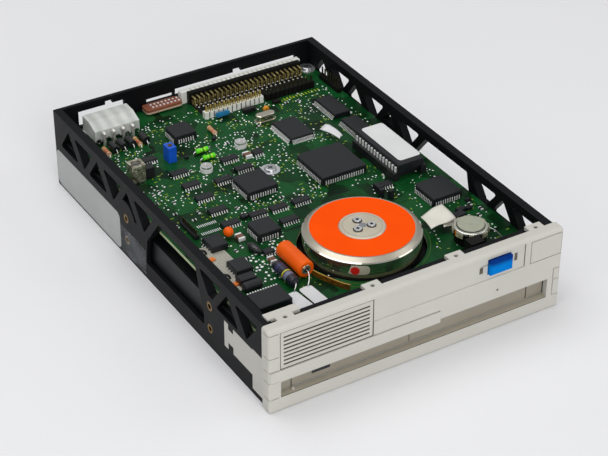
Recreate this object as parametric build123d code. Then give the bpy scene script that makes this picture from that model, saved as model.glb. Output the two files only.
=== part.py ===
from build123d import *
import os
from math import cos, radians, sin

# Half-height 5.25-inch optical disk drive with its top cover off.
# Lengths are in millimetres. x runs to the right seen from the front, y to the rear and z up.
# While the pieces are made, y is 0 where the bezel meets the frame and z is 0 under the drive.

# Overall sizes of the 5.25-inch half-height form
frame_width = 146.0
frame_depth = 202.9
frame_height = 41.3
bezel_overhang = 1.5
bezel_rise = 0.7
bezel_depth = 5.6

# General clearances and hardware
seat_gap = 0.15
moving_gap = 0.3
shaft_gap = 0.05
thread_radius = 1.25
insert_radius = 2.2
insert_length = 2.7
screw_shank_radius = 1.2
screw_head_radius = 2.9
screw_head_height = 1.7
screw_head_round = 0.7

# Frame walls, the triangle windows between the struts and the mounting hole pattern
wall = 2.0
truss_wall = 4.0
truss_foot_z = 22.4
window_rail = 4.1
window_bottom = 24.8
window_pitch = 30.95
first_up_tip = 31.7
first_down_tip = 15.3
window_half_base = 9.7
window_corner = 0.8
window_rear_margin = 3.0
bay_window_top_front = 59.6
bay_window_top_rear = 93.4
bay_window_rear = 107.2
bay_window_front = 52.7
bay_window_bottom = 8.8
bay_window_step_z = 14.3
bay_window_knee = (56.9, 26.8)
mount_front_y = 47.4
mount_pitch_y = 79.24
mount_low_z = 10.0
mount_high_z = 21.84
bottom_mount_inset = 3.15
boss_radius = 4.4
boss_reach = 0.5
under_boss_wall = 0.9
front_pad_radius = 5.6
rear_pad_radius = 9.2
flange_width = 7.5
flange_top = 3.6
flange_root = 2.4
rear_flange_width = 5.5
cover_thickness = 1.0
ledge_width = 2.5
ledge_height = 2.2
ledge_front_end = 43.0
cross_bar_depth = 4.6
cross_bar_top = 40.2
cross_bar_height = 3.2
sill_depth = 3.6
post_width = 2.1
post_depth = 2.2

# Windows for the connectors in the rear wall
power_window_left = -60.8
power_key = (-46.3, 3.9)
power_window_width = 24.8
power_window_bottom = 29.0
power_window_height = 8.4
window_key_height = 1.8
jumper_window_left = -24.1
jumper_window_width = 15.0
jumper_window_height = 2.6
signal_window_left = -8.1
signal_window_width = 69.8
signal_window_bottom = 31.0
signal_window_height = 4.0
signal_key = (25.0, 4.5)

# Deck that carries the motor and roofs the cartridge bay
deck_side_gap = 1.1
deck_front = 4.9
deck_rear = 152.0
deck_top = 20.5
deck_thickness = 2.0
bay_wall = 1.5
bay_rail_top = 7.0
bay_rail_width = 6.4
bay_rail_height = 1.0
foot_length = 10.0
foot_front_y = 20.0
foot_rear_inset = 7.0
foot_hole_offset = 2.0
screw_tip_gap = 1.2

# Circuit board
board_side_gap = 0.3
board_front = 2.5
board_back_gap = 0.3
board_thickness = 1.6
board_top = 28.5
post_radius = 3.4
post_bore_depth = 7.0
post_web = 2.0
post_web_top = 25.0
corner_post_inset_x = 8.3
corner_post_inset_y = 7.8
board_hole_gap = 0.3
board_screw_reach = 5.0
centre_post_x = -0.7
centre_post_y = 119.5

# Spindle motor
motor_x = 3.2
motor_y = 46.0
can_radius = 26.75
can_top = 37.5
can_height = 10.3
can_skin = 1.6
can_bevel = 2.6
can_bevel_drop = 1.8
can_crown_share = 0.4
cutout_gap = 2.3
hub_radius = 10.5
hub_height = 0.7
hub_edge = 0.4
hub_screws = 3
hub_screw_circle = 4.1
hub_screw_radius = 1.8
hub_screw_height = 0.8
label_radius = 23.4
label_thickness = 0.15
shaft_radius = 2.0
bearing_radius = 5.0
bearing_height = 3.0
bearing_tube_radius = 7.0
bearing_tube_top = 33.0
motor_plate_radius = 23.0
motor_plate_height = 1.6
stator_rise = 2.4
stator_core_radius = 10.0
stator_radius = 22.4
stator_height = 5.0
stator_poles = 9
pole_width = 3.0
pole_tip_width = 9.0
pole_tip_depth = 2.0
turntable_radius = 14.0
turntable_height = 2.2
turntable_gap = 0.5
turntable_chamfer = 0.6
spindle_nose_radius = 1.9
spindle_nose_length = 1.4

# Optical carriage under the bay
sled_width = 44.0
sled_length = 26.0
sled_height = 4.7
sled_front = 72.0
rail_radius = 1.5
rail_spread = 17.0
rail_front = 66.0
rail_rear = 128.0
rail_z = 3.9
rail_block = 6.0
yoke_gap = 4.6
coil_wall = 1.3
coil_inset = 6.0
yoke_top = 6.2
yoke_margin = 1.0
lens_top = 6.4
lens_seat = 0.8
lens_seat_width = 1.0
lens_sphere_rise = 1.2
lens_radius = 2.0
lens_housing_radius = 4.0
lens_travel = 0.3

# Bezel, its grooves and openings
groove = 0.5
top_edge_radius = 2.2
corner_edge_radius = 1.2
grille_inset = 5.3
grille_width = 45.4
grille_top_inset = 1.9
grille_lip = 1.5
grille_lip_depth = 1.7
grille_reveal = 0.3
grille_back = 0.4
louvre_count = 8
louvre_pitch = 1.95
louvre_first = 23.4
louvre_slot = 0.9
louvre_margin = 1.9
louvre_rise = 1.2
panel_right_inset = 20.5
panel_bottom = 28.5
panel_top_inset = 1.6
panel_depth = 0.4
slot_left_inset = 5.7
slot_right_inset = 7.0
slot_bottom = 8.0
slot_top = 17.0
slot_shelf = 1.2
lip_front_height = 7.0
lip_back = 1.0
rail_left_inset = 0.5
rail_right = 10.0
rail_bottom = 15.5
rail_upper = 21.2
rail_proud = 0.4
blank_inset = 17.7
blank_bottom = 28.6
blank_top_inset = 1.8
end_block_inset = 4.3
column_inset = 1.0
groove_start = 1.2
pinhole_offset = 0.3
pinhole_z = 21.2
pinhole_radius = 0.6
tab_thickness = 1.7
tab_hole_radius = 1.0
tab_left_inset = 11.6
tab_right_inset = 10.8
tab_hole_y = 1.0
tab_width = 8.0
tab_length = 3.8
tab_root = 1.0
tee_width = 15.4
tee_front = 2.6
tee_length = 6.9
tee_shift = 0.4
tongue_thickness = 1.6
tongue_steps = [
    ((0.0, 10.7), (2.5, 23.3)), ((10.6, 26.8), (9.7, 22.7)),
    ((25.0, 33.0), (13.0, 20.0)), ((31.2, 34.5), (9.5, 22.7)),
]

# Dust door in the disk slot
door_left_inset = 6.8
door_right_inset = 9.6
door_thickness = 1.4
door_bottom = 8.4
door_pin_z = 16.0
door_pin_y = -1.9
door_barrel_radius = 0.9
door_pin_radius = 0.6
door_pin_length = 2.2
door_notch_left = 8.9
door_notch_width = 9.0
door_notch_height = 1.3
end_piece_depth = 2.4
nub_radius = 0.7
nub_inset = 6.8
nub_height = 0.5

# Eject button and the lights beside it
button_inset = 34.2
button_edge = 1.0
neck_inset = 1.1
neck_height = 3.8
flange_height = 4.6
button_width = 11.6
button_bottom = 31.4
button_height = 7.1
button_proud = 2.0
button_back = -2.6
button_travel = 2.0
opening_gap = 0.35
stem_width = 4.0
stem_height = 3.4
stem_z = 34.3
flange_reach = 1.4
flange_thick = 1.0
switch_setback = 7.7
switch_width = 7.0
switch_depth = 5.5
switch_height = 8.0
plunger_radius = 0.9
plunger_length = 2.0
plunger_socket = 4.0
left_light_inset = 43.6
left_light_z = 34.2
left_light_size = (2.0, 3.2)
right_light_inset = 25.4
right_light_z = 35.3
right_light_size = (1.7, 4.0)
light_pipe_reveal = 0.6
light_pipe_back = 6.0
light_neck_height = 2.4
lamp_radius = 1.5
lamp_depth = 3.0
lamp_leg_width = 1.2
lamp_leg_setback = 1.0
lamp_leg_depth = 1.0

# Power connector
power_x = -49.5
power_setback = 19.4
power_width = 23.6
power_depth = 13.8
power_bottom = 30.4
power_height = 8.0
power_front_height = 5.6
power_slope = 6.5
power_skin = 1.2
power_floor = 3.0
power_barrel_notch = 1.4
power_foot = (4.0, 9.0)
power_foot_inset = 2.5
power_pitch = 5.08
power_pins = 4
power_pin_z = 34.6
power_pin_radius = 1.05
power_leg_radius = 0.75
power_leg_reach = 1.4
power_pin_tail = 13.0

# Jumper block beside it: a thin plate on low feet
jumper_x = -17.6
jumper_width = 19.8
jumper_setback = 7.6
jumper_depth = 6.9
jumper_lift = 0.9
jumper_thickness = 2.2
jumper_corner = 1.5
jumper_foot = 2.0
jumper_columns = 8
jumper_pitch = 2.05
jumper_shift = 1.5
jumper_row_spacing = 2.6
jumper_hole = 0.9
jumper_hole_depth = 0.8

# Signal connector: black pin strip in front of a cream housing that opens to the rear
pin_pitch = 2.54
pin_side = 0.64
signal_x = 27.9
signal_columns = 25
signal_setback = 7.6
signal_strip_depth = 2.5
signal_strip_height = 6.4
signal_strip_width = 64.2
signal_left = -7.2
signal_right = 61.4
signal_depth = 3.5
signal_height = 6.2
signal_skin = 0.8
signal_floor = 1.0
rib_gap = 0.5
rib_depth = 0.6
lower_row_z = 30.46
lower_foot_reach = 0.8
signal_pin_end = 0.3

# Single-row socket strips in front of it and the short strip on the right edge
sip_left = -4.4
sip_setback = 23.2
sip_pins = 13
sip_width = 2.6
sip_height = 3.6
edge_header_left = 30.4
edge_header_pins = 11
strip_pin_height = 3.2
side_strip_inset = 6.6
side_strip_setback = 17.9
side_strip_pins = 7
side_strip_height = 2.6
dark_box_size = (4.0, 2.4, 1.6)
dark_box_place = (34.0, 173.0)

# Chips: body length along x, body length along y and body height
layout_length = 125.85
chip_lift = 0.4
chip_edge = 0.35
carrier_corner = 2.0
plcc_68_size = (24.2, 24.2, 4.2)
plcc_68_place = (24.9, 106.8)
plcc_44_size = (15.8, 15.8, 4.2)
plcc_44_places = [(-15.0, 109.5), (54.4, 61.3)]
plcc_28_size = (11.5, 11.5, 4.2)
plcc_28_places = [(-22.5, 168.3), (-30.0, 75.1)]
quad_size = (12.8, 18.0, 2.5)
quad_place = (26.3, 144.2)
memory_size = (8.9, 18.2, 2.6)
memory_places = [(54.5, 153.0), (54.8, 129.6)]
eprom_size = (14.2, 36.6, 4.2)
eprom_place = (52.3, 98.8)
socket_height = 4.2
socket_rail = 3.0
socket_length = 36.0
socket_pitch_x = 15.24
socket_bar_width = 2.4
socket_bar_pitch = 14.0
eprom_notch_radius = 1.6
eprom_notch_depth = 1.2
logic_size = (8.7, 3.9, 1.5)
logic_places = [
    (-46.7, 155.7), (-39.3, 138.2), (-39.5, 126.0), (-39.2, 113.7), (-39.3, 101.2),
    (-39.4, 88.7), (-13.1, 137.1), (-11.1, 126.6), (-24.5, 122.3), (-25.1, 89.1),
    (-14.4, 88.9), (-2.7, 88.6), (-15.5, 77.6), (36.6, 80.2),
]
small_logic_size = (4.9, 3.9, 1.5)
small_logic_places = [(1.3, 135.4), (-36.2, 60.5)]
driver_size = (8.2, 9.2, 3.2)
driver_places = [(-53.6, 77.0), (-53.2, 55.7)]
array_size = (16.0, 11.6, 3.4)
array_place = (-54.6, 28.2)
relay_size = (8.0, 4.6, 3.4)
relay_place = (-55.2, 46.6)
choke_length = 9.0
choke_radius = 2.2
choke_edge = 1.0
choke_place = (-55.6, 40.8)

# Round, tall and adjustable components
lying_lift = 0.3
small_lift = 0.2
trimmer_place = (-36.6, 151.9)
trimmer_size = (4.2, 5.6, 8.0)
trimmer_screw_depth = 1.6
trimmer_screw_radius = 1.1
trimmer_screw_proud = 0.4
screw_slot_width = 0.4
screw_slot_depth = 0.5
trimmer_capacitor_places = [(-26.6, 134.5), (-2.0, 145.5)]
trimmer_capacitor_radius = 3.0
trimmer_capacitor_height = 1.9
rotor_radius = 2.7
rotor_height = 1.0
rotor_gap = 0.1
rotor_pin_radius = 0.7
rotor_pin_length = 1.2
rotor_slot = (0.6, 3.4, 0.4)
coil_can_place = (-57.9, 144.9)
coil_can_side = 7.0
coil_can_corner = 0.8
coil_can_height = 8.6
coil_slug_radius = 2.4
coil_bore_depth = 4.0
coil_slug_drop = 0.5
slug_slot = (3.4, 0.6, 0.9)
crystal_place = (20.8, 161.3)
crystal_length = 10.4
crystal_width = 4.3
crystal_height = 3.8
crystal_flange = 0.5
crystal_edge = 0.6
film_capacitor_place = (-31.6, 45.6)
film_capacitor_length = 19.4
film_capacitor_radius = 4.1
film_capacitor_edge = 0.9
inductor_place = (-39.6, 39.8)
inductor_length = 15.6
inductor_radius = 2.6
inductor_edge = 0.8
tantalum_place = (-44.9, 80.6)
tantalum_radius = 2.3
tantalum_lift = 0.6
diode_places = [(-55.9, 173.0), (-51.3, 173.6), (-46.7, 173.7), (-39.5, 173.4)]
diode_radius = 1.9
diode_length = 6.0
resistor_places = [(-60.1, 172.2), (-43.3, 172.9), (-7.6, 163.6)]
green_resistor_places = [(-20.6, 150.1), (-20.6, 143.2)]
resistor_radius = 1.2
resistor_length = 6.4
resistor_waist = 0.85
resistor_cap = 1.6
resistor_cap_inset = 0.9
post_strip_place = (-57.8, 92.9)
post_strip_pins = 7
post_strip_pitch = 2.0
post_strip_height = 4.6

# Round can that stands through the board at the right front corner
actuator_x = 46.2
actuator_y = 24.2
actuator_radius = 7.8
actuator_can_height = 5.2
actuator_top = 36.6
actuator_base_radius = 7.2
actuator_cap_radius = 6.1
actuator_rim_drop = 0.6
actuator_dot_radius = 0.7
actuator_dot_height = 0.3

# Worked out from the sizes above
half_frame = frame_width / 2
inner_half = half_frame - wall
truss_inner = half_frame - truss_wall
inner_rear = frame_depth - wall
window_top = round(frame_height - window_rail, 3)
half_bezel = half_frame + bezel_overhang
bezel_height = frame_height + bezel_rise
bezel_front = -bezel_depth
half_deck = inner_half - deck_side_gap
half_board = truss_inner - board_side_gap
bay_roof = deck_top - deck_thickness
board_bottom = board_top - board_thickness
board_rear = inner_rear - board_back_gap
foot_ys = (foot_front_y, deck_rear - foot_rear_inset)
foot_hole_x = inner_half - flange_width / 2 - foot_hole_offset
mount_ys = (mount_front_y, mount_front_y + mount_pitch_y)
bottom_mount_x = half_frame - bottom_mount_inset
corner_post_x = half_frame - corner_post_inset_x
corner_post_y = frame_depth - corner_post_inset_y
grille_left = -half_bezel + grille_inset
grille_right = grille_left + grille_width
grille_bottom = rail_upper
grille_top = bezel_height - grille_top_inset
panel_right = half_bezel - panel_right_inset
panel_top = bezel_height - panel_top_inset
slot_left = -half_bezel + slot_left_inset
slot_right = half_bezel - slot_right_inset
blank_left = half_bezel - blank_inset
blank_top = bezel_height - blank_top_inset
door_left = slot_left + door_left_inset
door_right = slot_right - door_right_inset
button_x = half_bezel - button_inset
pinhole_x = button_x - pinhole_offset
left_light = (half_bezel - left_light_inset, left_light_z)
right_light = (half_bezel - right_light_inset, right_light_z)
lights = ((left_light, left_light_size), (right_light, right_light_size))
tab_bottom = bezel_height - tab_thickness
tab_reach = 2 * half_bezel - tab_left_inset - tab_right_inset
tab_xs = [-half_bezel + tab_left_inset + tab_reach * step / 3 for step in range(4)]
tee_x = tab_xs[0] + tee_shift
power_front = inner_rear - power_setback
jumper_front = inner_rear - jumper_setback
signal_front = inner_rear - signal_setback
housing_front = signal_front + signal_strip_depth
sip_y = inner_rear - sip_setback
layout_front = motor_y + can_radius + cutout_gap
layout_stretch = (inner_rear - layout_front) / layout_length
origin_y = (bezel_front - button_proud + frame_depth) / 2


def block(x, y, z):
    """Box between a low and a high limit along each axis."""
    size = [high - low for low, high in (x, y, z)]
    centre = [(low + high) / 2 for low, high in (x, y, z)]
    return Pos(*centre) * Box(*size)


def around(centre, size):
    """Low and high limit of a size about its centre."""
    return centre - size / 2, centre + size / 2


def upright(x, y, z, radius):
    """Cylinder that stands between two heights."""
    low, high = z
    return Pos(x, y, (low + high) / 2) * Cylinder(radius, high - low)


def crosswise(x, y, z, radius):
    """Cylinder that lies along x."""
    low, high = x
    return Pos((low + high) / 2, y, z) * Rot(0, 90, 0) * Cylinder(radius, high - low)


def lengthwise(x, y, z, radius):
    """Cylinder that lies along y."""
    low, high = y
    return Pos(x, (low + high) / 2, z) * Rot(90, 0, 0) * Cylinder(radius, high - low)


def side_panel(y, z, gap=0):
    """Rectangle over y and z, grown by a gap."""
    (rear_low, rear_high), (low, high) = y, z
    width = rear_high - rear_low + 2 * gap
    height = high - low + 2 * gap
    return Pos((rear_low + rear_high) / 2, (low + high) / 2) * Rectangle(width, height)


def across(face, x):
    """Solid between two x limits from a face drawn over y and z."""
    low, high = x
    return extrude(Pos(low, 0, 0) * (Plane.YZ * face), high - low, dir=(1, 0, 0))


def both_sides(shape):
    """The shape and its mirror image across the middle of the drive."""
    return shape + mirror(shape, Plane.YZ)


def merged(shapes):
    """One shape out of a list of them."""
    total = shapes[0]
    for shape in shapes[1:]:
        total += shape
    return total


def apart(shapes):
    """Separate solids kept together as one piece of hardware."""
    return Compound(children=[solid for shape in shapes for solid in shape.solids()])


def in_row(centre, pitch, count):
    """Places at an even pitch about a centre."""
    return [centre + pitch * (index - (count - 1) / 2) for index in range(count)]


def window(corners):
    """Rounded opening through a side wall, drawn over y and z."""
    face = make_face(Polyline(*corners, close=True))
    return fillet(face.vertices(), window_corner)


def window_tips(first, bay_window_end):
    """Tips of the triangle windows along the wall, clear of the bay window and the rear wall."""
    tips = []
    tip = first
    while tip + window_half_base < inner_rear - window_rear_margin:
        in_front = tip < bay_window_top_front - window_half_base
        behind = tip > bay_window_end + window_half_base
        if in_front or behind:
            tips.append(tip)
        tip += window_pitch
    return tips


def triangle_window(tip_y, tip_z, base_z):
    corners = [
        (tip_y, tip_z),
        (tip_y - window_half_base, base_z),
        (tip_y + window_half_base, base_z),
    ]
    return window(corners)


def bay_window():
    """Large opening beside the cartridge bay; its rear edge leans like the struts."""
    strut_lean = window_half_base / (window_top - window_bottom)
    lower_rear = bay_window_top_rear + (window_top - mount_high_z) * strut_lean
    return window([
        (bay_window_top_front, window_top),
        (bay_window_top_rear, window_top),
        (lower_rear, mount_high_z),
        (bay_window_rear, bay_window_bottom),
        (bay_window_front, bay_window_bottom),
        (bay_window_front, bay_window_step_z),
        bay_window_knee,
    ])


def side_wall_outline():
    """Side wall seen from the side, y to the right and z up."""
    outline = side_panel((0, frame_depth), (0, frame_height))
    for tip in window_tips(first_up_tip, bay_window_rear):
        outline -= triangle_window(tip, window_top, window_bottom)
    for tip in window_tips(first_down_tip, bay_window_top_rear):
        outline -= triangle_window(tip, window_bottom, window_top)
    outline -= bay_window()
    for y, radius in zip(mount_ys, (front_pad_radius, rear_pad_radius)):
        outline += Pos(y, mount_high_z) * Circle(radius)
    for y, z in tongue_steps:
        outline -= side_panel(y, z, seat_gap)
    for y in mount_ys:
        for z in (mount_low_z, mount_high_z):
            outline -= Pos(y, z) * Circle(insert_radius)
    return outline


def make_side_wall():
    """Right side wall with its thicker truss, pads, board ledges, foot flange and front post."""
    outline = side_wall_outline()
    side = across(outline, (inner_half, half_frame))
    truss = outline & side_panel((0, frame_depth), (truss_foot_z, frame_height))
    side += across(truss, (truss_inner, inner_half))
    pad_x = (half_frame - insert_length, inner_half + boss_reach)
    for y in mount_ys:
        for z in (mount_low_z, mount_high_z):
            side += crosswise(pad_x, y, z, boss_radius)
            side -= crosswise((truss_inner, half_frame), y, z, insert_radius)
    ledge_x = (truss_inner - ledge_width, inner_half)
    ledge_z = (board_bottom - ledge_height, board_bottom)
    side += block(ledge_x, (bay_window_rear, inner_rear), ledge_z)
    side += block(ledge_x, (0, ledge_front_end), ledge_z)
    side += block((inner_half - post_width, inner_half), (0, post_depth), (0, tab_bottom))
    side += block((inner_half - flange_width, inner_half), (0, inner_rear), (cover_thickness, flange_top))
    side += block((inner_half - flange_root, inner_half), (0, inner_rear), (0, flange_top))
    for y in mount_ys:
        side += upright(bottom_mount_x, y, (0, flange_top), insert_radius + under_boss_wall)
        side -= upright(bottom_mount_x, y, (0, insert_length), insert_radius)
    for y in foot_ys:
        side -= upright(foot_hole_x, y, (0, flange_top), screw_shank_radius + seat_gap)
    side += upright(corner_post_x, corner_post_y, (cover_thickness, board_bottom), post_radius)
    web_y = around(corner_post_y, post_web)
    side += block((corner_post_x, inner_half), web_y, (cover_thickness, post_web_top))
    bore_z = (board_bottom - post_bore_depth, board_bottom)
    return side - upright(corner_post_x, corner_post_y, bore_z, screw_shank_radius)


def rear_window(left, width, bottom, height):
    return block((left, left + width), (inner_rear, frame_depth), (bottom, bottom + height))


def make_rear_wall():
    """Rear wall with the keyed connector windows."""
    rear = block((-half_frame, half_frame), (inner_rear, frame_depth), (0, frame_height))
    rear -= rear_window(power_window_left, power_window_width, power_window_bottom, power_window_height)
    rear -= rear_window(*power_key, power_window_bottom + power_window_height, window_key_height)
    rear -= rear_window(jumper_window_left, jumper_window_width, signal_window_bottom, jumper_window_height)
    rear -= rear_window(signal_window_left, signal_window_width, signal_window_bottom, signal_window_height)
    return rear - rear_window(*signal_key, signal_window_bottom + signal_window_height, window_key_height)


def make_chassis_frame():
    """Moulded frame: two open side walls, rear wall, cross bars and foot flanges."""
    frame = both_sides(make_side_wall()) + make_rear_wall()
    inner_x = (-inner_half, inner_half)
    frame += block(inner_x, (0, cross_bar_depth), (cross_bar_top - cross_bar_height, cross_bar_top))
    frame += block(inner_x, (0, cross_bar_depth), (cover_thickness, flange_top))
    frame += block(inner_x, (0, sill_depth), (bay_roof, deck_top))
    frame += block(inner_x, (inner_rear - rear_flange_width, inner_rear), (cover_thickness, flange_top))
    rear_ledge_z = (board_bottom - ledge_height, board_bottom)
    frame += block(inner_x, (inner_rear - ledge_width, inner_rear), rear_ledge_z)
    notch_x = around(tee_x, tee_width + 2 * seat_gap)
    notch_y = (tee_front - seat_gap, tee_length + seat_gap)
    return frame - block(notch_x, notch_y, (tab_bottom - seat_gap, frame_height))


def make_bottom_cover():
    """Sheet steel plate let into the underside, notched round the mounting bosses."""
    edge = inner_half - flange_root - seat_gap
    plate = block((-edge, edge), (seat_gap, inner_rear - seat_gap), (0, cover_thickness))
    for side in (-1, 1):
        for y in mount_ys:
            notch = insert_radius + under_boss_wall + seat_gap
            plate -= upright(side * bottom_mount_x, y, (0, cover_thickness), notch)
        for y in foot_ys:
            plate -= upright(side * foot_hole_x, y, (0, cover_thickness), screw_shank_radius + seat_gap)
    return plate


def make_cover_screws():
    """Flat screws that hold the bottom cover and the deck's feet to the flanges."""
    screws = []
    for x in (-foot_hole_x, foot_hole_x):
        for y in foot_ys:
            screws.append(upright(x, y, (0, bay_rail_top - screw_tip_gap), screw_shank_radius))
    return apart(screws)


def make_thread_inserts():
    """Brass inserts: four in each side wall and four in the underside."""
    inserts = []
    for y in mount_ys:
        for z in (mount_low_z, mount_high_z):
            right = (half_frame - insert_length, half_frame)
            sleeve = crosswise(right, y, z, insert_radius) - crosswise(right, y, z, thread_radius)
            inserts += [sleeve, mirror(sleeve, Plane.YZ)]
        under = (0, insert_length)
        sleeve = upright(bottom_mount_x, y, under, insert_radius)
        sleeve -= upright(bottom_mount_x, y, under, thread_radius)
        inserts += [sleeve, mirror(sleeve, Plane.YZ)]
    return apart(inserts)


def make_bezel_plate():
    """Solid front plate with its rounded outer edges."""
    plate = block((-half_bezel, half_bezel), (bezel_front, 0), (0, bezel_height))
    upper = plate.edges().filter_by(Axis.X).group_by(Axis.Z)[-1].group_by(Axis.Y)[0]
    plate = fillet(upper, top_edge_radius)
    corners = plate.edges().filter_by(Axis.Z).group_by(Axis.Y)[0]
    plate = fillet(corners, corner_edge_radius)
    lower = plate.edges().filter_by(Axis.X).group_by(Axis.Z)[0].group_by(Axis.Y)[0]
    return fillet(lower, corner_edge_radius)


def slanted_lip():
    """Wedge that lowers the front of the slot's bottom lip."""
    lip_front = bezel_front - rail_proud
    profile = Polyline(
        (lip_front, lip_front_height),
        (-lip_back, slot_bottom),
        (lip_front, slot_bottom),
        close=True,
    )
    return across(make_face(profile), (slot_left, slot_right))


def face_groove(x, z):
    """Cut of the groove's depth into the bezel's face."""
    return block(x, (2 * bezel_front, bezel_front + groove), z)


def groove_frame(x, z):
    """Narrow groove round a rectangle on the bezel's face."""
    inner_x = (x[0] + groove, x[1] - groove)
    inner_z = (z[0] + groove, z[1] - groove)
    return face_groove(x, z) - face_groove(inner_x, inner_z)


def wrapped_groove(z):
    """Groove that runs from the slot's column round the bezel's left end, and along its right end."""
    low, high = z, z + groove
    ends = block((-half_bezel - groove, -half_bezel + groove), (2 * bezel_front, -groove_start), (low, high))
    front = face_groove((-half_bezel - groove, slot_left - column_inset), (low, high))
    return both_sides(ends) + front


def make_tabs():
    """Tabs on the rear of the top edge, the left one widened to a tee."""
    z = (tab_bottom, bezel_height)
    tabs = [block(around(x, tab_width), (-tab_root, tab_length), z) for x in tab_xs]
    tabs.append(block(around(tee_x, tee_width), (tee_front, tee_length), z))
    plate = merged(tabs)
    for x in tab_xs:
        plate -= upright(x, tab_hole_y, z, tab_hole_radius)
    return plate


def make_tongue():
    """Side tongue that snaps into the frame's side wall."""
    outline = merged([side_panel(y, z) for y, z in tongue_steps])
    return across(outline, (half_frame - tongue_thickness, half_frame))


def cut_slot(bezel, through):
    """Disk slot: a shelf behind the raised rail, open in full below it and to its right."""
    slot_x = (slot_left, slot_right)
    bezel -= block(slot_x, (bezel_front + slot_shelf, through[1]), (slot_bottom, slot_top))
    bezel -= block(slot_x, through, (slot_bottom, rail_bottom))
    bezel -= block((rail_right, slot_right), through, (slot_bottom, slot_top))
    bezel -= slanted_lip()
    nub_x = slot_left + nub_inset
    nub_z = (lip_front_height, slot_bottom + nub_height)
    return bezel + upright(nub_x, bezel_front + slot_shelf + nub_radius, nub_z, nub_radius)


def cut_grille_window(bezel, through):
    """Window for the louvred insert, with a rebate for its lip behind."""
    bezel -= block((grille_left, grille_right), through, (grille_bottom, grille_top))
    rebate_x = (grille_left - grille_lip, grille_right + grille_lip)
    return bezel - block(rebate_x, (-grille_lip_depth, through[1]), (grille_bottom - grille_lip, grille_top))


def cut_lines(bezel):
    """Grooves of the left column, the blank panel and the right end."""
    bezel -= groove_frame((blank_left, half_bezel - groove), (blank_bottom, blank_top))
    for z in (lip_front_height, rail_bottom, rail_upper, panel_bottom - groove, blank_top - groove):
        bezel -= wrapped_groove(z)
    end_left = half_bezel - end_block_inset
    for z in (lip_front_height, rail_bottom, rail_upper):
        bezel -= face_groove((end_left, half_bezel + groove), (z, z + groove))
    bezel -= face_groove((end_left, end_left + groove), (lip_front_height, rail_upper))
    return bezel - face_groove((grille_right, rail_right), (rail_upper, rail_upper + groove))


def make_front_bezel():
    """Front moulding with its openings, grooves, raised rail, tabs and tongues."""
    bezel = make_bezel_plate()
    through = (2 * bezel_front, bezel_depth)
    rail_x = (-half_bezel + rail_left_inset, rail_right)
    bezel += block(rail_x, (bezel_front - rail_proud, bezel_front / 2), (rail_bottom, rail_upper))
    bezel = cut_slot(bezel, through)
    bezel = cut_grille_window(bezel, through)
    panel_y = (2 * bezel_front, bezel_front + panel_depth)
    bezel -= block((grille_right, panel_right), panel_y, (panel_bottom, panel_top))
    opening_x = around(button_x, button_width + 2 * opening_gap)
    opening_z = around(button_bottom + button_height / 2, button_height + 2 * opening_gap)
    bezel -= block(opening_x, through, opening_z)
    for (x, z), (width, height) in lights:
        bezel -= block(around(x, width), through, around(z, height))
    bezel -= lengthwise(pinhole_x, through, pinhole_z, pinhole_radius)
    return cut_lines(bezel) + make_tabs() + both_sides(make_tongue())


def make_vent_grille():
    """Louvred insert held by a lip behind the bezel's window."""
    x = (grille_left + grille_reveal, grille_right - grille_reveal)
    z = (grille_bottom + grille_reveal, grille_top - grille_reveal)
    insert = block(x, (bezel_front + grille_reveal, -grille_lip_depth), z)
    lip_x = (grille_left - grille_lip + seat_gap, grille_right + grille_lip - seat_gap)
    lip_z = (grille_bottom - grille_lip + seat_gap, grille_top - seat_gap)
    insert += block(lip_x, (-grille_lip_depth, -grille_back), lip_z)
    for step in range(louvre_count):
        low = louvre_first - louvre_slot / 2 + louvre_pitch * step
        profile = Polyline(
            (bezel_front, low),
            (0, low + louvre_rise),
            (0, low + louvre_rise + louvre_slot),
            (bezel_front, low + louvre_slot),
            close=True,
        )
        insert -= across(make_face(profile), (grille_left + louvre_margin, grille_right - louvre_margin))
    return insert


def make_bay_door():
    """Dust flap that hangs on a pin at each end of its upper edge, with a latch notch."""
    x = (door_left, door_right)
    flap_y = around(door_pin_y, door_thickness)
    door = block(x, flap_y, (door_bottom, door_pin_z))
    notch_left = door_left + door_notch_left
    notch_top = door_pin_z - door_barrel_radius
    notch_x = (notch_left, notch_left + door_notch_width)
    door -= block(notch_x, flap_y, (notch_top - door_notch_height, notch_top))
    door += crosswise(x, door_pin_y, door_pin_z, door_barrel_radius)
    pins = (door_left - door_pin_length, door_right + door_pin_length)
    return door + crosswise(pins, door_pin_y, door_pin_z, door_pin_radius)


def make_door_end_pieces():
    """Fixed pieces at both ends of the slot, bored for the door's pins."""
    front = door_pin_y - door_thickness / 2
    y = (front, front + end_piece_depth)
    z = (slot_bottom, slot_top)
    left = block((slot_left, door_left - moving_gap), y, z)
    right = block((door_right + moving_gap, slot_right), y, z)
    bore = door_pin_radius + shaft_gap
    reach = door_pin_length + 2 * moving_gap
    left -= crosswise((door_left - reach, door_left), door_pin_y, door_pin_z, bore)
    right -= crosswise((door_right, door_right + reach), door_pin_y, door_pin_z, bore)
    return apart([left, right])


def make_eject_button():
    """Button cap, retaining flange and the stem that reaches back to the switch."""
    cap_z = (button_bottom, button_bottom + button_height)
    cap = block(around(button_x, button_width), (bezel_front - button_proud, button_back), cap_z)
    cap = fillet(cap.edges().group_by(Axis.Y)[0], button_edge)
    neck_x = around(button_x, button_width - 2 * neck_inset)
    cap += block(neck_x, (button_back, moving_gap), around(stem_z, neck_height))
    flange_x = around(button_x, button_width + 2 * flange_reach)
    cap += block(flange_x, (moving_gap, moving_gap + flange_thick), around(stem_z, flange_height))
    stem_end = board_front + switch_setback - moving_gap - button_travel
    cap += block(around(button_x, stem_width), (moving_gap, stem_end), around(stem_z, stem_height))
    socket_y = (stem_end - plunger_socket, stem_end)
    return cap - lengthwise(button_x, socket_y, stem_z, plunger_radius + moving_gap)


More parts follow.
